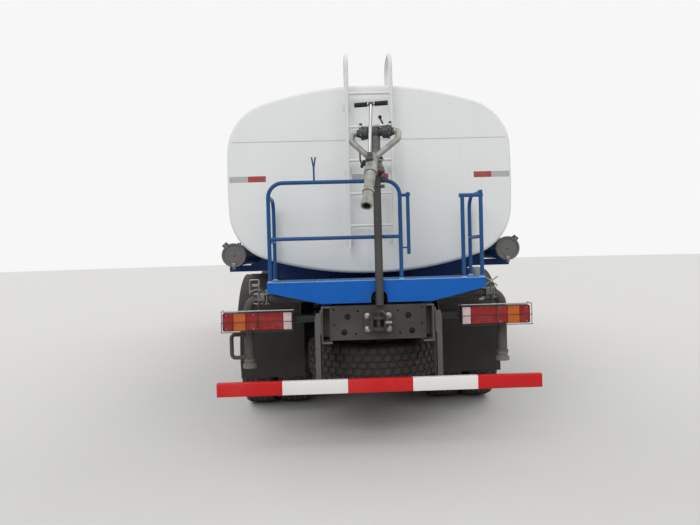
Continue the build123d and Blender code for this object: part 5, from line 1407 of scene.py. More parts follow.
def makeSprayPipes():
    bm = bmesh.new()
    look = pipeLook
    y, z, x = look["rear"], look["height"], look["outletX"]
    joint = look["outletJoint"]
    for side in (-1, 1):
        addTube(bm, [(0, y, z), (side * x, y, z), (side * x, y, joint)], look["radius"], look["bend"], 28, 0,
                12)
        addLathe(bm, mm(0, 30, 0, 44.5, 1.5, 46, 12.5, 46, 14, 44.5, 14.5, 38.5, 20, 38),
                 (side * x, y, joint), upwards, 32)
        # Valve body between its two flanges, waisted, with the neck on top
        body = mm(-42, 36, -42, 63.5, -40.5, 66, -31, 66, -29, 64.5, -26, 56, -6, 56, -3, 64.5, -1, 66, 10.5,
                  66, 12, 63.5, 12, 36)
        addLathe(bm, body, (side * look["valveX"], y, z), (side, 0, 0), 36, 1)
        neck = (side * (look["valveX"] - 0.015), y, z + 0.055)
        addLathe(bm, mm(0, 22, 4, 20, 18, 19, 20, 23.5, 27, 23.5, 27.5, 19, 27.5, 0), neck, upwards, 24, 1)
        # Welded sockets each side of the valve
        for off in (-0.075, 0.045):
            addLathe(bm, mm(-6, 38, -5, 40.5, 0, 41.5, 5, 40.5, 6, 38), (side * (look["valveX"] + off), y, z),
                     (side, 0, 0), 28)
        inner, outer = look["valveX"] - 0.075, look["valveX"] + 0.045
        for dy, dz in circle(4, look["studCircle"], 0.5):
            # Long studs through both flanges with a nut at each end
            addRod(bm, (side * inner, y + dy, z + dz), (side * outer, y + dy, z + dz), 0.007, 12, 2, 0.001)
            for spot in (look["valveX"] - 0.052, look["valveX"] + 0.012):
                addLathe(bm, mm(0, 12.5, 9, 12.5, 10, 10.5, 10, 6), (side * spot, y + dy, z + dz),
                         (side, 0, 0), 6, 2)
    # Supply from the pump, the pump itself and the riser's feed
    addTube(bm, [(-0.19, y, z), (-0.19, -0.56, z), (-0.19, -0.56, 0.965)], look["radius"], 0.06, 24, 0, 8)
    pump = mm(-110, 0, -110, 85, -107, 88, -75, 92, -70, 117, -67, 120, -35, 120, -32, 112, 50, 108, 55, 120,
              72, 120, 75, 116, 82, 70, 107, 66, 110, 60, 110, 0)
    addLathe(bm, pump, (-0.19, -0.56, 0.965), alongY, 36, 1)
    column = cannonLook["column"][0]
    feedEnd = y - 0.062
    addRod(bm, (column, y, z), (column, feedEnd, z), 0.028, 24)
    addLathe(bm, mm(0, 28, 0, 48.5, 1.5, 50, 10.5, 50, 12, 48.5, 13, 31, 17, 28), (column, feedEnd, z),
             alongY, 32)
    # Loop handle left of the left outlet
    handleX = -x - 0.03
    addTube(bm, [(handleX, y - 0.02, 0.885), (-1.134, y - 0.02, 0.885), (-1.134, y - 0.02, 0.705),
                 (handleX, y - 0.02, 0.705)], 0.0155, 0.03, 18, 3, 8)
    # Air can of the right valve on its arm, with cap, vent and hose tail
    canX, canY = 0.865, -4.01
    addBox(bm, (canX - 0.012, y - 0.012, 1.228), (canX + 0.012, canY, 1.244), 0.002, 2)
    addLathe(bm, mm(1236, 0, 1236, 39, 1239, 42, 1282, 42, 1284, 40.5, 1287, 40.5, 1289, 42, 1343, 42, 1351,
                    38, 1355, 30, 1355, 0), (canX, canY, 0), upwards, 32, 4)
    addTube(bm, [(canX - 0.02, canY, 1.3), (canX - 0.052, canY, 1.3), (canX - 0.056, canY + 0.05, 1.24),
                 (canX - 0.08, y + 0.03, 1.2)], 0.005, 0.015, 8, 2)
    addPiece("spray_pipe_run", bm, [greyPipeShadeDarkened, valveGrey, boltSteel, olivePaint, airCanGrey, blackPlastic],
             "chassis", "spray_pipes", 32)
    # Pull rods over both valves: a bright bracket left and crossing rods right
    rods = bmesh.new()
    left, near = -look["valveX"], y - 0.05
    addTube(rods, [(-0.976, near, 1.2), (-0.976, near, 1.31), (-0.902, near, 1.31), (-0.902, near, 1.27)],
            0.0055, 0.012, 12, 0, 5)
    addTube(rods, [(-0.976, near, 1.215), (-0.93, near, 1.235), (-0.89, near, 1.225)], 0.0055, 0.02, 10, 0, 5)
    addBox(rods, (-0.955, near - 0.012, 1.258), (-0.905, near + 0.03, 1.276), 0.003)
    for x, base, tip in ((-0.848, 1.13, 1.236), (-0.905, 1.222, 1.29)):
        addRod(rods, (x, near, base), (x, near, tip), 0.0055, 12)
        for spot in (base + 0.012, tip - 0.012):
            addLathe(rods, mm(-5, 0, -5, 11, 5, 11, 5, 0), (x, near, spot), upwards, 6)
    right = look["valveX"]
    addTube(rods, [(0.852, near, 1.216), (0.962, near, 1.286)], 0.005, sides=10)
    addTube(rods, [(0.862, near - 0.008, 1.282), (0.955, near - 0.008, 1.214)], 0.005, sides=10)
    addRod(rods, (0.904, near - 0.014, 1.236), (0.904, near + 0.012, 1.26), 0.012, 12)
    addRod(rods, (0.806, near, 1.11), (0.846, near, 1.11), 0.012, 14)
    addRod(rods, (0.93, near, 1.12), (0.93, near, 1.2), 0.0055, 12)
    for sx in (left, right):
        addBox(rods, (sx - 0.045, y - 0.0665, z - 0.012), (sx + 0.045, y - 0.055, z + 0.004), 0.002, 1)
    addPiece("valve_pull_rods", rods, [boltSteel, valveGrey], "chassis")


def makeOutlets():
    # Ribbed nozzle sleeves with a worn collar and a dark mouth
    bm = bmesh.new()
    look = pipeLook
    x, y, low, joint = look["outletX"], look["rear"], look["outletLow"], look["outletJoint"]
    for side in (-1, 1):
        spot = (side * x, y, 0)
        wall = [(low + 0.06, 0.0), (low + 0.06, 0.032), (low + 0.0015, 0.032), (low, 0.0335), (low, 0.0515),
                (low + 0.0015, 0.053), (low + 0.0285, 0.053), (low + 0.03, 0.0515), (low + 0.031, 0.0405)]
        for n in range(3):
            z = low + 0.034 + n * 0.006
            wall += [(z, 0.039), (z + 0.0015, 0.0405), (z + 0.0035, 0.0405), (z + 0.005, 0.039)]
        wall += [(joint - 0.0145, 0.038), (joint - 0.014, 0.0445), (joint - 0.0125, 0.046),
                 (joint - 0.0015, 0.046), (joint, 0.0445), (joint, 0.02)]
        addLathe(bm, wall, spot, upwards, 32)
        for a, b in circle(6, 0.0455, 1 / 3):
            addLathe(bm, mm(0, 6.5, 5, 6.5, 5, 0), (side * x + a, y + b, low + 0.03), upwards, 6, 1)
    addPiece("spray_nozzles", bm, [nozzlePaint, boltSteel], "chassis", "spray_outlets", 32)


hoseLook = {"x": 1.155, "z": 1.505, "radius": 0.09, "rear": -3.95, "length": 5.85, "capRear": -3.974,
            "straps": (-3.7, -2.45, -1.15, 0.2, 1.65)}


def makeHoses():
    look = hoseLook
    straps = bmesh.new()
    for side in (-1, 1):
        for y in look["straps"]:
            addLathe(straps, mm(-20, 89.5, -20, 91.2, -18, 92.2, 18, 92.2, 20, 91.2, 20, 89.5),
                     (side * look["x"], y, look["z"]), alongY, 40)
            lug = (side * (look["x"] - 0.004), y, look["z"] + look["radius"])
            for out in (-1, 1):
                ear = lug[0] + out * 0.008
                addBox(straps, (ear - 0.003, y - 0.018, lug[2] - 0.002),
                       (ear + 0.003, y + 0.018, lug[2] + 0.02), 0.001)
            addRod(straps, (lug[0] - 0.017, y, lug[2] + 0.011), (lug[0] + 0.017, y, lug[2] + 0.011), 0.004,
                   10, 1)
        for y in (look["rear"] + 0.006, look["rear"] + look["length"] - 0.006):
            addLathe(straps, mm(-5, 89.5, -4, 91.5, 4, 91.5, 5, 89.5), (side * look["x"], y, look["z"]),
                     (0, 1, 0), 40)
    addPiece("hose_tube_straps", straps, [railBlue, boltSteel], "chassis")
    for side, label in bothSides:
        bm = bmesh.new()
        centre = (side * look["x"], look["capRear"], look["z"])
        # Rolled rim, pressed step and pull stud of the lid
        addLathe(bm, mm(-1, 90.5, 2, 92.5, 3.5, 96, 2, 99.5, -1, 100.8), centre, backwards, 44)
        floor = (centre[0], centre[1] + 0.008, centre[2])
        addLathe(bm, mm(-1, 63, 1.5, 61.5, 2.5, 58, 1.5, 54.5, -1, 53), floor, backwards, 44)
        addLathe(bm, mm(-1, 12, 2, 11, 6, 7.5, 7, 4, 7, 0), floor, backwards, 20)
        # Draw latch low on the lid
        low = look["z"] - 0.082
        addBox(bm, (centre[0] - 0.016, centre[1] - 0.006, low - 0.012),
               (centre[0] + 0.016, centre[1] + 0.001, low + 0.016), 0.002, 1)
        addTube(bm, [(centre[0] - 0.009, centre[1] - 0.007, low + 0.01),
                     (centre[0] - 0.009, centre[1] - 0.01, low - 0.014),
                     (centre[0] + 0.009, centre[1] - 0.01, low - 0.014),
                     (centre[0] + 0.009, centre[1] - 0.007, low + 0.01)], 0.0028, 0.005, 8, 1, 4)
        addPiece(f"hose_cap_pressing_{label}", bm, [greyPaint, boltSteel], f"hose_cap_{label}")


guardLook = {"tyreRadius": 0.561, "outer": 0.745, "x": (0.64, 1.225), "low": 0.835, "ys": (-2.85, -1.5),
             "beads": 6, "padHeights": (1.6, 2.18, 2.7), "padX": 0.182}


def onArc(x, centre, rise, angle):
    # A place over a mudguard's outer face
    radius = guardLook["outer"] + rise
    return (x, centre + radius * math.cos(angle), guardLook["tyreRadius"] + radius * math.sin(angle))


def makeGuardDetail():
    # Rolled edges and pressed beads of the mudguards, and the flaps' clamp strips with their bolts
    bm = bmesh.new()
    look = guardLook
    start = math.asin((look["low"] - look["tyreRadius"]) / look["outer"])
    meet = math.acos((look["ys"][1] - look["ys"][0]) / 2 / look["outer"])
    for side in (-1, 1):
        for n, centre in enumerate(look["ys"]):
            low, high = (meet, math.pi - start) if n == 0 else (start, math.pi - meet)
            for x in (look["x"][0] + 0.006, look["x"][1] - 0.006):
                addTube(bm, [onArc(side * x, centre, -0.004, low + (high - low) * i / 24) for i in range(25)],
                        0.0065, sides=8)
            for step in range(1, look["beads"]):
                angle = low + (high - low) * step / look["beads"]
                ends = (look["x"][0] + 0.05, look["x"][1] - 0.05)
                addTube(bm, [onArc(side * x, centre, 0.0005, angle) for x in ends], 0.005, sides=8)
    addPiece("mudguard_edges", bm, wornGuard, "chassis")
    strips = bmesh.new()
    for side in (-1, 1):
        addBox(strips, (side * 0.63, -3.5495, 0.872), (side * 1.175, -3.5445, 0.902), 0.0015)
        for x in (0.7, 0.9025, 1.105):
            addLathe(strips, mm(0, 11, 6, 11, 8, 9, 8, 0), (side * x, -3.549, 0.887), backwards, 6, 1)
    addPiece("flap_clamps", strips, [chassisPaint, boltSteel], "chassis")


def makeLadderFeet():
    # Flat pads where the ladder's stays meet the tank, stained with rust around them
    bm = bmesh.new()
    for side in (-1, 1):
        # The right side has no pad at the top
        for z in guardLook["padHeights"][:2 if side > 0 else 3]:
            x = side * guardLook["padX"]
            addBox(bm, (x - 0.028, -4.0505, z - 0.028), (x + 0.028, -4.044, z + 0.028), 0.003)
            for dz in (-0.017, 0.017):
                addLathe(bm, mm(0, 6.5, 4, 6.5, 5, 5, 5, 0), (x, -4.05, z + dz), backwards, 6, 1)
    addPiece("ladder_pads", bm, [stainedWhite, rustySteel], "chassis")


# The pipe grey is darkened as painted shade of the platform over the pipe run
greyPipeShadeDarkened = paint("grey spray pipe enamel, darkened as painted shade", (0.07, 0.066, 0.06), 0.5, mottle=0.2, dirt=0.25, dust=0.1,
                 dustTop=1.3, shine=0.25)
valveGrey = cast("grey valve casting", (0.15, 0.15, 0.145), 0.55, 0.35)
olivePaint = paint("olive-brown handle enamel", (0.06, 0.052, 0.036), 0.5, mottle=0.2, dirt=0.4, chips=0.4)
airCanGrey = paint("blue-grey air can", (0.2, 0.235, 0.26), 0.4, metal=0.2, mottle=0.1, dirt=0.25)
nozzlePaint = paint("worn grey nozzle", (0.165, 0.162, 0.14), 0.5, metal=0.25, mottle=0.2, dirt=0.3,
                    chips=0.4)
guardBlack = paint("mudguard black", (0.012, 0.01, 0.01), 0.6, mottle=0.25, dirt=0.12, dust=0.06, dustTop=1.5,
                   peel=0.1, shine=0.25, upper=(0.95, 1.2, 0.22))
wornGuard = paint("worn mudguard edge", (0.075, 0.068, 0.062), 0.55, mottle=0.3, dirt=0.4, chips=0.5)
stainedWhite = paint("rust-stained white", (0.6, 0.605, 0.6), 0.5, dirt=0.2, chips=0.35,
                     chipColor=(0.23, 0.09, 0.035))
makeSprayPipes()
makeOutlets()
makeHoses()
makeGuardDetail()
makeLadderFeet()
paintNodes(greyPaint, "hose_cap_left", "hose_cap_right")
paintNodes([guardBlack, flapRubber], "rear_mudguards")
print("pipes and mudguards ready")


# Fuel tank, battery box, air tanks, exhaust, side guards, frame, axles and the tank's roof

sideLook = {"guardRails": (0.56, 0.74, 0.92), "guardX": 1.2222, "guardEnds": (-0.618, 2.178),
            "axles": (-2.85, -2.175, -1.5, 3.1)}


def makeFuelTank():
    bm = bmesh.new()
    for y in (0.835, 0.885, 1.375, 1.425):
        band = roundedBox((0.4545, 0.4945), (1.1255, 1.0855), 0.0955, 6)
        addLoop(bm, [(x, y, z) for x, z in band], 0.0035, 1)
    for y in (0.706, 0.714, 1.706, 1.714, 1.0, 1.13, 1.26):
        addLoop(bm, [(x, y, z) for x, z in roundedBox((0.46, 0.5), (1.12, 1.08), 0.09, 6)], 0.004)
    for y in (0.86, 1.4):
        # Tightening bolt of each band
        for z in (0.66, 0.76):
            addBox(bm, (1.122, y - 0.018, z), (1.136, y + 0.018, z + 0.022), 0.002, 2)
        addRod(bm, (1.131, y, 0.65), (1.131, y, 0.79), 0.0045, 10, 2)
        addLathe(bm, mm(0, 10, 8, 10, 8, 0), (1.131, y, 0.782), upwards, 6, 2)
    addLathe(bm, mm(1078, 52, 1088, 50, 1090, 46, 1098, 46), (1.06, 1.5, 0), upwards, 32)
    addPrism(bm, starOutline(12, 0.043, 0.047, (1.06, 1.5)), "z", 1.098, 1.12, 0.003, 3)
    addTube(bm, [(1.03, 1.5, 1.122), (1.06, 1.5, 1.128), (1.09, 1.5, 1.122)], 0.006, 0.02, 8, 3)
    addLathe(bm, mm(1078, 34, 1086, 34, 1088, 31, 1088, 0), (0.8, 1.2, 0), upwards, 24, 2)
    addTube(bm, [(0.8, 1.2, 1.085), (0.8, 1.2, 1.1), (0.6, 1.2, 1.1), (0.47, 1.2, 1.0)], 0.006, 0.02, 8, 2)
    addPiece("fuel_tank_bands_and_cap", bm, [tankAlloy, gripRubber, boltSteel, blackPlastic], "chassis")


def makeBoxes():
    bm = bmesh.new()
    for n in range(5):
        y = 1.12 + n * 0.13
        addTube(bm, [(-1.09, y, 0.95), (-0.49, y, 0.95)], 0.007, sides=8)
        addBox(bm, (-1.1135, y - 0.01, 0.56), (-1.1095, y + 0.01, 0.88), 0.0018)
    for y in (1.2, 1.56):
        # Rubber draw latches
        addBox(bm, (-1.127, y - 0.016, 0.84), (-1.117, y + 0.016, 0.925), 0.004, 1)
        addRod(bm, (-1.129, y - 0.022, 0.925), (-1.129, y + 0.022, 0.925), 0.006, 12, 2)
        addBox(bm, (-1.122, y - 0.014, 0.8), (-1.11, y + 0.014, 0.838), 0.003, 2)
    for z in (0.6, 0.85):
        for y in (-0.445, 0.895):
            out = -1 if y < 0 else 1
            addLathe(bm, mm(0, 60, 4, 58, 10, 40, 13, 0), (-0.62, y, z), (0, out, 0), 28)
        for y in (-0.4, 0.85, -0.052, -0.008, 0.508, 0.552):
            addLathe(bm, mm(-4, 111.5, -2, 113.5, 2, 113.5, 4, 111.5), (-0.62, y, z), alongY, 36)
        addLathe(bm, mm(0, 12, 14, 12, 18, 8, 22, 8, 22, 0), (-0.62, 0.2, z - 0.11), (0, 0, -1), 6, 2)
        addTube(bm, [(-0.62, 0.32, z + 0.108), (-0.62, 0.32, z + 0.125), (-0.5, 0.32, z + 0.125),
                     (-0.435, 0.32, z + 0.11)], 0.006, 0.014, 8, 1)
    addPiece("battery_and_air_tank_details", bm, [chassisPaint, blackPlastic, boltSteel], "chassis")
    pipe = bmesh.new()
    for x in (-1.06, -0.955, -0.605, -0.5):
        addLathe(pipe, mm(-6, 203.5, -4, 207.5, 4, 207.5, 6, 203.5), (x, 2.01, 0.72), alongX, 44)
    for x in (-0.9, -0.66):
        addLathe(pipe, mm(-16, 204.5, -16, 207.5, 16, 207.5, 16, 204.5), (x, 2.01, 0.72), alongX, 44, 1)
        addRod(pipe, (x, 2.01 + 0.2135, 0.7), (x, 2.01 + 0.2135, 0.76), 0.006, 10, 1)
    for a, b in circle(20, 0.14, 200 / 18)[:9]:
        # Pressed slots of the heat shield on the outer end
        slot = mm(0, 18, 3, 15, 3, 9, 0, 7)
        addLathe(pipe, slot, (-1.0805, 2.01 + a, 0.72 + b), (-1, 0, 0), 14)
    # Open end of the tailpipe
    along = (Vector((-1.12, 1.9, 0.4)) - Vector((-0.9, 2.01, 0.44))).normalized()
    mouth = mm(-20, 55.5, -18, 58.5, 16, 58.5, 16, 50, 1, 49.5)
    addLathe(pipe, mouth, (-1.12, 1.9, 0.4), along, 32)
    addLathe(pipe, mm(1, 49.5, 1, 0), (-1.12, 1.9, 0.4), along, 32, 2)
    addPiece("silencer_bands", pipe, [rustySteel, boltSteel, gripRubber], "chassis")


def makeSideGuards():
    bm = bmesh.new()
    bolts, facing = [], []
    for side in (-1, 1):
        for z in sideLook["guardRails"]:
            for dz in (0.018, 0.035, 0.052):
                groove = [(side * sideLook["guardX"], y, z + dz) for y in sideLook["guardEnds"]]
                addTube(bm, groove, 0.0022, sides=6)
            for y in (0.2, 1.65):
                for dy in (-0.02, 0.02):
                    bolts.append((side * 1.222, y + dy, z + 0.012))
                    facing.append((side, 0, 0))
            for y in (-0.619, 2.179):
                out = y - 0.004 if y < 0 else y + 0.004
                addBox(bm, (side * 1.196, y, z - 0.001), (side * 1.2225, out, z + 0.071), 0.001, 1)
    addPiece("side_guard_grooves", bm, [zincCoat, blackPlastic], "chassis")
    for y in [-4.2 + 0.24 * n for n in range(35)]:
        # None where an axle or the springs' middle is in the way
        if min(abs(y - a) for a in sideLook["axles"]) < 0.1:
            continue
        for side in (-1, 1):
            for z in (0.875, 1.045):
                bolts.append((side * 0.425, y, z))
                facing.append((side, 0, 0))
    addBolts("frame_and_guard_bolts", bolts, facing, (0.01, 0.008, 0.015, 0.006))
    lines = bmesh.new()
    for z, radius in ((0.995, 0.008), (0.972, 0.006), (0.954, 0.006)):
        addTube(lines, [(0.436, -4.1, z), (0.436, 0.55, z)], radius, sides=8)
        addTube(lines, [(-0.436, -4.1, z), (-0.436, -0.6, z)], radius, sides=8)
    for y in [-3.95 + 0.55 * n for n in range(8)]:
        for side in (-1, 1):
            if side > 0 or y < -0.7:
                addBox(lines, (side * 0.4245, y - 0.009, 0.944), (side * 0.447, y + 0.009, 1.006), 0.002, 1)
    addPiece("frame_air_pipes", lines, [blackPlastic, boltSteel], "chassis")


def makeAxleDetail():
    # U-bolts of the springs with their nuts, and bolts round the axles' covers
    bm = bmesh.new()
    for side in (-1, 1):
        for y, low, high, inner, outer, spread in ((3.1, 0.47, 0.648, 0.371, 0.469, 0.052),
                                                   (-2.175, 0.592, 0.843, 0.431, 0.549, 0.062)):
            for dy in (-spread, spread):
                points = [(side * inner, y + dy, low), (side * inner, y + dy, high),
                          (side * outer, y + dy, high), (side * outer, y + dy, low)]
                addTube(bm, points, 0.009, 0.014, 10, 0, 4)
                for x in (inner, outer):
                    addLathe(bm, mm(-4, 0, -4, 16, 12, 16, 12, 0), (side * x, y + dy, low + 0.004), upwards,
                             6, 1)
    addPiece("spring_u_bolts", bm, [chassisPaint, boltSteel], "chassis")
    spots = []
    for y in (-2.85, -1.5):
        spots += [(a, y - 0.075, 0.561 + b) for a, b in circle(12, 0.175)]
    addBolts("axle_cover_bolts", spots, backwards, (0.009, 0.008, 0.012, 0.003))


def makeRoof():
    # Walkway tread, and clamps and handle of the manhole lid
    meshes = []
    outline = mm(-15, -4, 15, -4, 19, 0, 15, 4, -15, 4, -19, 0)
    for start, rows in ((-3.53, 50), (-0.12, 33)):
        unit = lugUnit(outline, (-0.275, start), 2.9055, 2.9085, 0.8)
        meshes.append(gridMesh(unit, 11, rows, (0.052, 0, 0), (0, 0.05, 0), walkwayPaint, (0.026, 0, 0)))
    addCopies("walkway_tread", meshes, "chassis", smoothAngle=20)
    bm = bmesh.new()
    for x, off in circle(6, 0.243, 0.5):
        y = off - 0.6
        addLathe(bm, mm(3011.5, 16, 3015, 16, 3016, 9, 3030, 9, 3030, 0), (x, y, 0), upwards, 12)
        across = Vector((-off, x, 0)).normalized() * 0.024
        addTube(bm, [Vector((x, y, 3.026)) - across, Vector((x, y, 3.026)) + across], 0.0042, sides=8)
    addTube(bm, [(-0.07, -0.72, 3.034), (-0.07, -0.72, 3.068), (0.07, -0.72, 3.068), (0.07, -0.72, 3.034)],
            0.006, 0.018, 10, 0, 5)
    addLathe(bm, mm(3035, 34, 3040, 36, 3052, 36, 3056, 30, 3056, 0), (0.05, -0.55, 0), upwards, 24, 1)
    addLathe(bm, mm(3011, 191.5, 3016, 193, 3019, 190.5), (0, -0.6, 0), upwards, 44, 1)
    addPiece("manhole_lid_clamps", bm, [boltSteel, ladderPaint], "manhole_lid")


def makeLampGuards():
    # Thin wire guards over the tail lamps, on the back plate and its arm; the top wire, its arms and the
    # short outer stubs are pale zinc as a painted highlight, the other wires black
    bm = bmesh.new()
    look = lampLook
    inner, outer, wireY = look["inner"] - 0.008, look["outer"] + 0.005, look["rear"] - 0.026
    front = look["front"]
    low, top = look["low"] - 0.005, 1.083
    for side in (-1, 1):
        addBox(bm, (side * (inner - 0.002), front, 0.985), (side * (outer - 0.004), front + 0.012, 1.066),
               0.0015)
        addBox(bm, (side * 0.435, front + 0.01, 0.972), (side * 1.14, front + 0.034, 1.022), 0.002)
        # Material 1, the pale zinc coat, paints the highlight on the top wire; material 0 is black
        for z, mat in ((top, 1), (0.998, 0), (low, 0)):
            addTube(bm, [(side * inner, wireY, z), (side * outer, wireY, z)], 0.0042 if mat else 0.003,
                    sides=8, mat=mat)
        for x in (inner + 0.003, 0.905, outer - 0.003):
            addTube(bm, [(side * x, wireY + 0.004, top), (side * x, wireY + 0.004, low)], 0.0028, sides=8)
        for x in (inner + 0.002, 0.905, outer - 0.002):
            addTube(bm, [(side * x, wireY, top), (side * x, front + 0.004, top),
                         (side * x, front + 0.004, 1.05)], 0.0034, 0.012, 8, 1, 4)
        for z in (low, 0.998):
            addTube(bm, [(side * (outer - 0.003), wireY, z), (side * (outer + 0.004), wireY + 0.002, z)],
                    0.0034, sides=8, mat=1)
    addPiece("lamp_guard_wires", bm, [blackPlastic, zincCoat], "chassis", "lamp_guards")


walkwayPaint = paint("scuffed walkway white", (0.5, 0.51, 0.51), 0.55, mottle=0.12, dirt=0.5, chips=0.6)
makeFuelTank()
makeBoxes()
makeSideGuards()
makeAxleDetail()
makeRoof()
makeLampGuards()
paintNodes(tankAlloy, "fuel_tank")
paintNodes(rustySteel, "exhaust")
paintNodes(zincCoat, "side_guards")
paintNodes(engineMetal, "engine_and_shafts")
paintNodes(chassisPaint, "battery_and_air_tanks", "leaf_springs", "rear_axles", "front_axle", "knuckle_left",
           "knuckle_right", "tie_rod", "front_brackets")
paintNodes(ladderPaint, "tank_top_fittings", "manhole_lid")
print("sides and roof ready")


# Cab: doors, seams, grille, lamps, mirrors, steps and the inside

cabLook = {
    "half": 1.22,
    "doorWindow": [(3.25, 1.93), (3.25, 2.61), (3.93, 2.61), (4.04, 2.56), (4.185, 1.93)],
    "sideWindow": [(2.48, 1.96), (2.48, 2.58), (3.02, 2.58), (3.02, 1.96)],
    "rearWindow": [(-0.52, 1.96), (-0.52, 2.48), (0.52, 2.48), (0.52, 1.96)],
    "rubber": 0.011,
    "windowCorner": 0.05,
    "seatX": 0.69,
}


def loopPath(corners, spot, bend):
    # A closed path with round corners; spot turns an outline point into a place
    points = [spot(*c) for c in corners]
    start = (Vector(points[0]) + Vector(points[-1])) / 2
    return roundedPath([start] + points + [start], bend, 5)


def onPane(across, up):
    # A place on the sloping windscreen's outside, from across and the share of its height
    foot, head = Vector((across, 4.402, 1.935)), Vector((across, 4.264, 2.567))
    return foot.lerp(head, up)


def makeDoors():
    look = cabLook
    for side, label in bothSides:
        bm = bmesh.new()
        x = look["half"]
        for face in (x - 0.0005, 1.1725):
            addTube(bm, loopPath(look["doorWindow"], lambda y, z: (face, y, z), look["windowCorner"]),
                    look["rubber"], sides=8)
        # Key lock with its slot, and the grip surround
        addLathe(bm, mm(0, 17, 3, 16, 5, 12, 5, 0), (x, 3.4, 1.725), alongX, 20, 2)
        addBox(bm, (x + 0.0045, 3.3985, 1.716), (x + 0.0062, 3.4015, 1.734), 0.0004)
        addLoop(bm, [(x, y, z) for y, z in roundedBox((3.235, 1.745), (3.455, 1.815), 0.02, 4)], 0.004)
        # Inside: trim card, arm rest, pull, window crank and door handle
        card = [(3.2, 1.27), (3.2, 1.87), (3.95, 1.87), (3.95, 1.6), (4.12, 1.6), (4.12, 1.27)]
        addPrism(bm, card, "x", 1.1655, 1.1735, 0.002, 1)
        addBox(bm, (1.115, 3.36, 1.6), (1.168, 3.86, 1.655), 0.014, 1, 4)
        addTube(bm, [(1.168, 3.42, 1.7), (1.13, 3.45, 1.7), (1.13, 3.62, 1.7), (1.168, 3.65, 1.7)], 0.009,
                0.02, 10)
        addLathe(bm, mm(0, 26, 12, 24, 14, 0), (1.166, 3.55, 1.48), (-1, 0, 0), 20)
        addTube(bm, [(1.15, 3.55, 1.48), (1.138, 3.58, 1.5), (1.138, 3.65, 1.55)], 0.007, 0.015, 8)
        addBall(bm, (1.128, 3.65, 1.55), 0.015, 14)
        addRod(bm, (1.15, 3.76, 1.79), (1.15, 3.88, 1.785), 0.007, 10, 2)
        addBox(bm, (1.15, 3.86, 1.765), (1.168, 3.91, 1.805), 0.004)
        low = [(3.26, 1.295), (3.26, 1.515), (3.96, 1.515), (3.96, 1.295)]
        addTube(bm, loopPath(low, lambda y, z: (1.165, y, z), 0.03), 0.004, sides=6)
        onSide(bm, side)
        addPiece(f"door_rubbers_and_trim_{label}", bm, [blackPlastic, greyPlastic, boltSteel],
                 f"door_{label}")
        paintNodes(redPaint, f"door_{label}")
        paintNodes(cabGlass, f"door_glass_{label}")


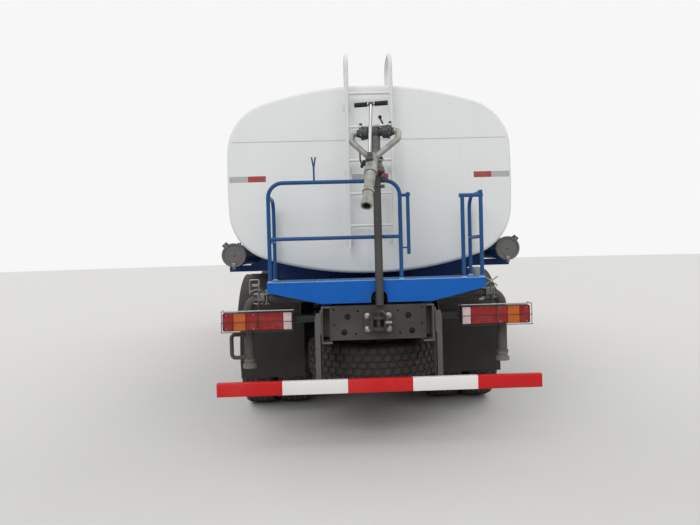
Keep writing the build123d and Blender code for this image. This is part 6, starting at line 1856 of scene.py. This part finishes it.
def makeCabSkin():
    bm = bmesh.new()
    look = cabLook
    x, r = look["half"], look["rubber"]
    for face in (-x + 0.0005, x - 0.0005):
        addTube(bm, loopPath(look["sideWindow"], lambda y, z: (face, y, z), 0.06), r, sides=8)
    addTube(bm, loopPath(look["rearWindow"], lambda px, z: (px, 2.3005, z), 0.06), r, sides=8)
    pane = [(-1.04, 0.0), (-1.04, 1.0), (1.04, 1.0), (1.04, 0.0)]
    addTube(bm, loopPath(pane, lambda across, up: tuple(onPane(across, up) + Vector((0, 0.014, 0.003))),
                         0.07), r + 0.002, sides=8)
    # Wipers at rest on the glass
    for pivot in (-0.8, 0.02):
        foot = onPane(pivot, -0.03) + Vector((0, 0.024, 0))
        tip = onPane(pivot + 0.46, 0.1) + Vector((0, 0.03, 0.004))
        addRod(bm, foot - Vector((0, 0.014, 0)), foot + Vector((0, 0.008, 0.002)), 0.014, 16)
        addTube(bm, [foot, foot.lerp(tip, 0.3), tip], 0.0055, sides=8)
        along = (onPane(pivot + 0.8, 0.055) - onPane(pivot + 0.12, 0.15)).normalized()
        middle = onPane(pivot + 0.46, 0.1) + Vector((0, 0.016, 0.002))
        for reach, radius, lift in ((0.34, 0.0035, 0.0), (0.2, 0.0045, 0.008)):
            rise = Vector((0, lift, 0))
            addTube(bm, [middle - along * reach + rise * 0.2, middle + rise,
                         middle + along * reach + rise * 0.2], radius, 0, 8)
    # Side turn lamps with their black surrounds at the front corners
    for side in (-1, 1):
        addBox(bm, (side * (x - 0.004), 4.345, 1.42), (side * (x + 0.009), 4.425, 1.465), 0.006, 3, 3)
        addBox(bm, (side * (x - 0.004), 4.337, 1.412), (side * (x + 0.004), 4.433, 1.473), 0.003)
    addPiece("cab_window_rubbers_and_wipers", bm, [blackPlastic, redPaint, boltSteel, lensAmber], "cab")
    skin = bmesh.new()
    # Pressed ribs of the rear wall, drip rails and roof ribs
    for px in (-1.02, -0.82, -0.62, -0.36, -0.12, 0.12, 0.36, 0.62):
        high = 2.62 if abs(px) > 0.6 else 1.86
        addBox(skin, (px - 0.035, 2.2945, 1.32), (px + 0.035, 2.304, high), 0.005, 0, 3)
    for z in (1.245, 2.66):
        addBox(skin, (-1.1, 2.2945, z), (1.1, 2.304, z + 0.03), 0.004, 0, 3)
    for side in (-1, 1):
        rail = [(side * (x + 0.006), 2.42, 2.755), (side * (x + 0.006), 3.97, 2.755),
                (side * (x + 0.004), 4.16, 2.655), (side * (x + 0.002), 4.24, 2.45)]
        addTube(skin, rail, 0.0085, 0.08, 10)
        for z in (1.62, 1.245):
            addBox(skin, (side * (x - 0.002), 2.36, z), (side * (x + 0.0035), 3.13, z + 0.028), 0.0025, 0, 3)
    for n in range(5):
        px = -0.72 + n * 0.36
        addBox(skin, (px - 0.05, 2.55, 2.893), (px + 0.05, 3.85, 2.8995), 0.003, 0, 3)
    addPiece("cab_pressed_ribs", skin, redPaint, "cab")
    rib = bmesh.new()
    addBox(rib, (-0.69, 4.457, 1.15), (-0.686, 4.471, 1.202), 0.0008, 0, 1)
    mesh = gridMesh(rib, 47, 6, (0.03, 0, 0), (0, 0, 0.09), blackPlastic)
    addCopies("grille_mesh", mesh, "cab")
    front = bmesh.new()
    for side in (-1, 1):
        # Mirror glasses with their rims, and panel gaps of the front
        addBox(front, (side * 1.318, 4.3085, 2.0), (side * 1.462, 4.3115, 2.4), 0.001, 1)
        rim = roundedBox((1.312, 1.994), (1.468, 2.406), 0.02, 4)
        addLoop(front, [(side * px, 4.309, z) for px, z in rim], 0.0045)
        for z in (2.02, 2.38):
            addLathe(front, mm(0, 16, 12, 14, 14, 0), (side * 1.296, 4.34, z), (-side, 0, 0), 14)
        addTube(front, [(side * 0.8, 4.4505, 1.22), (side * 0.8, 4.4505, 1.66)], 0.0025, sides=6)
        for z in (1.22, 1.66):
            addTube(front, [(side * 0.8, 4.4505, z), (side * 1.14, 4.4505, z)], 0.0025, sides=6)
        addRod(front, (side * 0.95, 4.4495, 1.7), (side * 0.95, 4.4565, 1.7), 0.011, 16)
    addTube(front, [(-1.1, 4.4445, 1.8), (1.1, 4.4445, 1.8)], 0.003, sides=6)
    for px in (-0.62, -0.31, 0.0, 0.31, 0.62):
        # Feet of the sun visor
        addBox(front, (px - 0.02, 4.245, 2.725), (px + 0.02, 4.295, 2.758), 0.004)
    addPiece("mirror_glasses_and_gaps", front, [blackPlastic, mirrorGlass], "cab")


def makeHeadlamps():
    bm = bmesh.new()
    low, high, depth = 0.6, 0.79, (4.561, 4.5992)
    for side in (-1, 1):
        outer = roundedBox((0.8, low), (1.12, high), 0.02, 5)
        inner = roundedBox((0.812, low + 0.012), (1.108, high - 0.012), 0.014, 5)
        layers = ((outer, depth[0]), (outer, depth[1] - 0.003), (outer, depth[1]), (inner, depth[1] - 0.001),
                  (inner, depth[0] + 0.004))
        rings = [[bm.verts.new((side * px, y, z)) for px, z in loop] for loop, y in layers]
        joinRings(bm, rings, 0, True)
        for px, radius in ((0.88, 0.06), (1.0, 0.048)):
            bowl = [(0.03, radius), (0.022, radius * 0.93), (0.012, radius * 0.72), (0.007, radius * 0.45),
                    (0.006, 0.01), (0.012, 0.009), (0.022, 0.008), (0.024, 0.0)]
            addLathe(bm, bowl, (side * px, depth[0], 0.695), alongY, 36, 1)
            addLathe(bm, [(0.029, radius), (0.033, radius + 0.003), (0.031, radius + 0.006)],
                     (side * px, depth[0], 0.695), alongY, 36, 1)
        addBox(bm, (side * 1.058, depth[0] + 0.012, low + 0.02),
               (side * 1.102, depth[1] - 0.006, high - 0.02), 0.008, 2, 3)
        addBox(bm, (side * 0.812, depth[1] - 0.0045, low + 0.012),
               (side * 1.108, depth[1] - 0.0015, high - 0.012), 0.001, 3, 1)
    addPiece("headlamp_units", bm, [blackPlastic, brightSteel, lensAmber, headLens], "chassis",
             "headlamps", 30)


def makeSteps():
    # Raised tread on the two steps of each side, and rolled lips of the bumper
    meshes = []
    for side in (-1, 1):
        for z in (0.5, 0.77):
            unit = bmesh.new()
            addBox(unit, (side * 0.94 - 0.016, 3.85, z - 0.001), (side * 0.94 + 0.016, 3.858, z + 0.005),
                   0.0015, 0, 1)
            meshes.append(gridMesh(unit, 6, 11, (side * 0.048, 0, 0), (0, 0.025, 0), zincCoat,
                                   (side * 0.018, 0, 0)))
    addCopies("step_tread", meshes, "chassis", smoothAngle=20)
    bm = bmesh.new()
    for z in (0.425, 0.895):
        addTube(bm, [(-1.205, 4.594, z), (1.205, 4.594, z)], 0.0048, sides=8)
    for side in (-1, 1):
        for z in (0.51, 0.84):
            addTube(bm, [(side * 1.2195, 4.19, z), (side * 1.2195, 4.56, z)], 0.0035, sides=6)
    addPiece("bumper_pressings", bm, bumperGrey, "chassis")


def makeInside():
    bm = bmesh.new()
    seatX = cabLook["seatX"]
    dash = [(4.01, 1.65), (4.385, 1.65), (4.378, 1.862), (4.12, 1.862), (4.0, 1.78)]
    addPrism(bm, dash, "x", -1.155, 1.155, 0.012, 0, 3)
    # Instrument hood with dials, vents with slats, glovebox seam and a row of keys
    addPrism(bm, [(4.02, 1.85), (4.26, 1.85), (4.22, 1.895), (4.06, 1.905)], "x", -seatX - 0.22,
             -seatX + 0.22, 0.01, 0, 3)
    lean = Vector((0, -0.86, 0.5)).normalized()
    for dx, radius in ((-0.11, 0.052), (0.11, 0.052), (0.0, 0.03)):
        spot = Vector((-seatX + dx, 4.045, 1.815))
        addLathe(bm, [(0, radius), (0.01, radius), (0.011, radius - 0.006), (0.006, radius - 0.01),
                      (0.006, 0)], spot, lean, 32, 1)
        addRod(bm, spot + lean * 0.007, spot + lean * 0.007 + Vector((radius * 0.7, 0, 0)), 0.0015, 6, 3)
    for px in (-1.06, -0.28, 0.28, 1.06):
        addBox(bm, (px - 0.065, 3.992, 1.7), (px + 0.065, 4.012, 1.775), 0.006, 1)
        for n in range(5):
            addBox(bm, (px - 0.057, 3.987, 1.709 + n * 0.013), (px + 0.057, 3.997, 1.713 + n * 0.013), 0.001,
                   0, 1)
    addLoop(bm, [(px, 4.007, z) for px, z in roundedBox((0.46, 1.665), (0.94, 1.775), 0.02, 4)], 0.003, 1)
    for n in range(6):
        addBox(bm, (-0.16 + n * 0.055, 3.996, 1.735), (-0.12 + n * 0.055, 4.006, 1.765), 0.003, 1)
    # Steering wheel with its spokes, boss and column
    centre, facing = Vector((-seatX, 3.8, 1.85)), Vector((0, -0.42, 0.91)).normalized()
    side = Vector(alongX)
    rise = facing.cross(side).normalized()
    addLoop(bm, [centre + side * a + rise * b for a, b in circle(48, 0.225)], 0.0145, 1, 12)
    for angle in (0.15, math.pi - 0.15, math.pi * 1.5, math.pi / 2):
        out = side * math.cos(angle) + rise * math.sin(angle)
        addTube(bm, [centre - facing * 0.02, centre + out * 0.12 - facing * 0.012, centre + out * 0.222],
                0.0095, sides=8, mat=1)
    addLathe(bm, mm(-30, 0, -30, 40, -5, 52, 4, 48, 10, 30, 11, 0), centre, facing, 32, 1)
    addRod(bm, centre - facing * 0.03, Vector((-seatX, 3.98, 1.5)), 0.026, 20, 1)
    addTube(bm, [centre - facing * 0.07, centre - facing * 0.06 + side * 0.17], 0.006, sides=8, mat=1)
    # Engine tunnel with its cover seam, and the gear lever in its boot
    tunnel = [(-0.405, 1.25), (-0.405, 1.44), (-0.35, 1.495), (0.35, 1.495), (0.405, 1.44), (0.405, 1.25)]
    addPrism(bm, tunnel, "y", 2.62, 3.985, 0.01, 4, 3)
    addTube(bm, [(-0.36, 2.8, 1.496), (0.36, 2.8, 1.496)], 0.003, sides=6, mat=1)
    boot = [(1.49, 0.075), (1.51, 0.07), (1.515, 0.058), (1.53, 0.054), (1.535, 0.044), (1.55, 0.04),
            (1.56, 0.018), (1.575, 0.014)]
    addLathe(bm, boot, (-0.2, 3.62, 0), upwards, 28, 1)
    addTube(bm, [(-0.2, 3.62, 1.56), (-0.21, 3.6, 1.72), (-0.23, 3.56, 1.84)], 0.008, 0.1, 10, 3)
    addBall(bm, (-0.23, 3.56, 1.86), 0.026, 18, 1)
    for px in (-0.8, -0.66, -0.54):
        addBox(bm, (px - 0.03, 4.02, 1.33), (px + 0.03, 4.034, 1.4), 0.005, 1)
        addRod(bm, (px, 4.03, 1.37), (px, 4.1, 1.5), 0.006, 8, 3)
    for sign in (-1, 1):
        # Seat frames and slides
        x = sign * seatX
        addPrism(bm, [(x - 0.2, 1.25), (x - 0.17, 1.478), (x + 0.17, 1.478), (x + 0.2, 1.25)], "y", 2.77,
                 3.15, 0.012, 1, 3)
        for dx in (-0.13, 0.13):
            addBox(bm, (x + dx - 0.02, 2.74, 1.25), (x + dx + 0.02, 3.19, 1.272), 0.003, 3)
        addPrism(bm, [(2.515, 2.15), (2.53, 2.15), (2.665, 1.58), (2.65, 1.56)], "x", x - 0.235, x + 0.235,
                 0.004, 1)
        addRod(bm, (x - 0.242, 2.7, 1.56), (x + 0.242, 2.7, 1.56), 0.012, 12, 1)
    addPiece("dash_wheel_and_seat_frames", bm, [greyPlastic, blackPlastic, gripRubber, boltSteel, floorMat],
             "cab", "cab_interior")


def makeCushion(name, centre, half, front, corner, channels, crown):
    # A crowned closed pad: its sides pull in between the corners, with sewn channels and piped seams
    across, thick = Vector(alongX), Vector(front).normalized()
    along = thick.cross(across).normalized()
    bm = bmesh.new()
    columns, rows = 26, 30

    def spot(u, v, face):
        # Round corners, a waist between them, and a crown that falls to the edge
        pull = 1 - 0.035 * (1 - v * v) if abs(u) > 0.7 else 1
        pullEnds = 1 - 0.03 * (1 - u * u) if abs(v) > 0.7 else 1
        cut = 1 - corner * (abs(u) ** 6) * (abs(v) ** 6)
        rim = max(0.0, 1 - max(abs(u), abs(v)) ** 8) ** 0.5
        swell = 0.62 + crown * (1 - u * u) * (1 - v * v)
        height = face * half[2] * min(swell, 1.0) * (0.3 + 0.7 * rim)
        if face > 0:
            for kind, place in channels:
                away = (v if kind == "across" else u) - place
                height -= 0.011 * math.exp(-(away / 0.035) ** 2) * (1 - max(abs(u), abs(v)) ** 10)
        place = Vector(centre) + across * u * half[0] * pull * cut
        return place + along * v * half[1] * pullEnds * cut + thick * height

    sheets = []
    for face in (-1, 1):
        sheets.append([[bm.verts.new(spot(2 * i / columns - 1, 2 * j / rows - 1, face))
                        for i in range(columns + 1)] for j in range(rows + 1)])
        for j in range(rows):
            for i in range(columns):
                sheet = sheets[-1]
                bm.faces.new((sheet[j][i], sheet[j][i + 1], sheet[j + 1][i + 1], sheet[j + 1][i]))
    border = [(0, i) for i in range(columns)] + [(j, columns) for j in range(rows)]
    border += [(rows, columns - i) for i in range(columns)] + [(rows - j, 0) for j in range(rows)]
    low, high = sheets
    for (j, i), (m, n) in zip(border, border[1:] + border[:1]):
        bm.faces.new((low[j][i], low[m][n], high[m][n], high[j][i]))
    for sheet in sheets:
        addLoop(bm, [sheet[j][i].co.copy() for j, i in border], 0.0042, 1)
    pad = addPiece(name, bm, [seatCloth, gripRubber], "cab", smoothAngle=60)


floorMat = plastic("rubber floor cover", (0.03, 0.03, 0.031), 0.8, 90.0)
mirrorGlass = brushed("silvered mirror", (0.75, 0.77, 0.78), 0.1, (1, 1, 1))
bumperGrey = paint("light grey bumper enamel", (0.36, 0.365, 0.365), 0.4, dirt=0.3, dust=0.4, dustTop=1.2,
                   chips=0.3)
makeDoors()
makeCabSkin()
makeHeadlamps()
makeSteps()
makeInside()
for sign, label in ((-1, "left"), (1, "right")):
    seat = sign * cabLook["seatX"]
    makeCushion(f"seat_cushion_{label}", (seat, 2.975, 1.54), (0.245, 0.262, 0.056), upwards, 0.05,
                (("across", -0.45), ("across", 0.25), ("along", -0.62), ("along", 0.62)), 0.42)
    makeCushion(f"seat_back_{label}", (seat, 2.648, 1.898), (0.238, 0.275, 0.052), (0, 0.976, 0.218), 0.06,
                (("across", -0.5), ("across", 0.1), ("along", -0.62), ("along", 0.62)), 0.42)
paintNodes(redPaint, "cab_shell")
paintNodes(cabGlass, "cab_glass")
paintNodes(blackPlastic, "cab_trim", "steps_and_mudguards")
paintNodes(bumperGrey, "front_bumper")
print("cab ready")


print("all pieces ready")
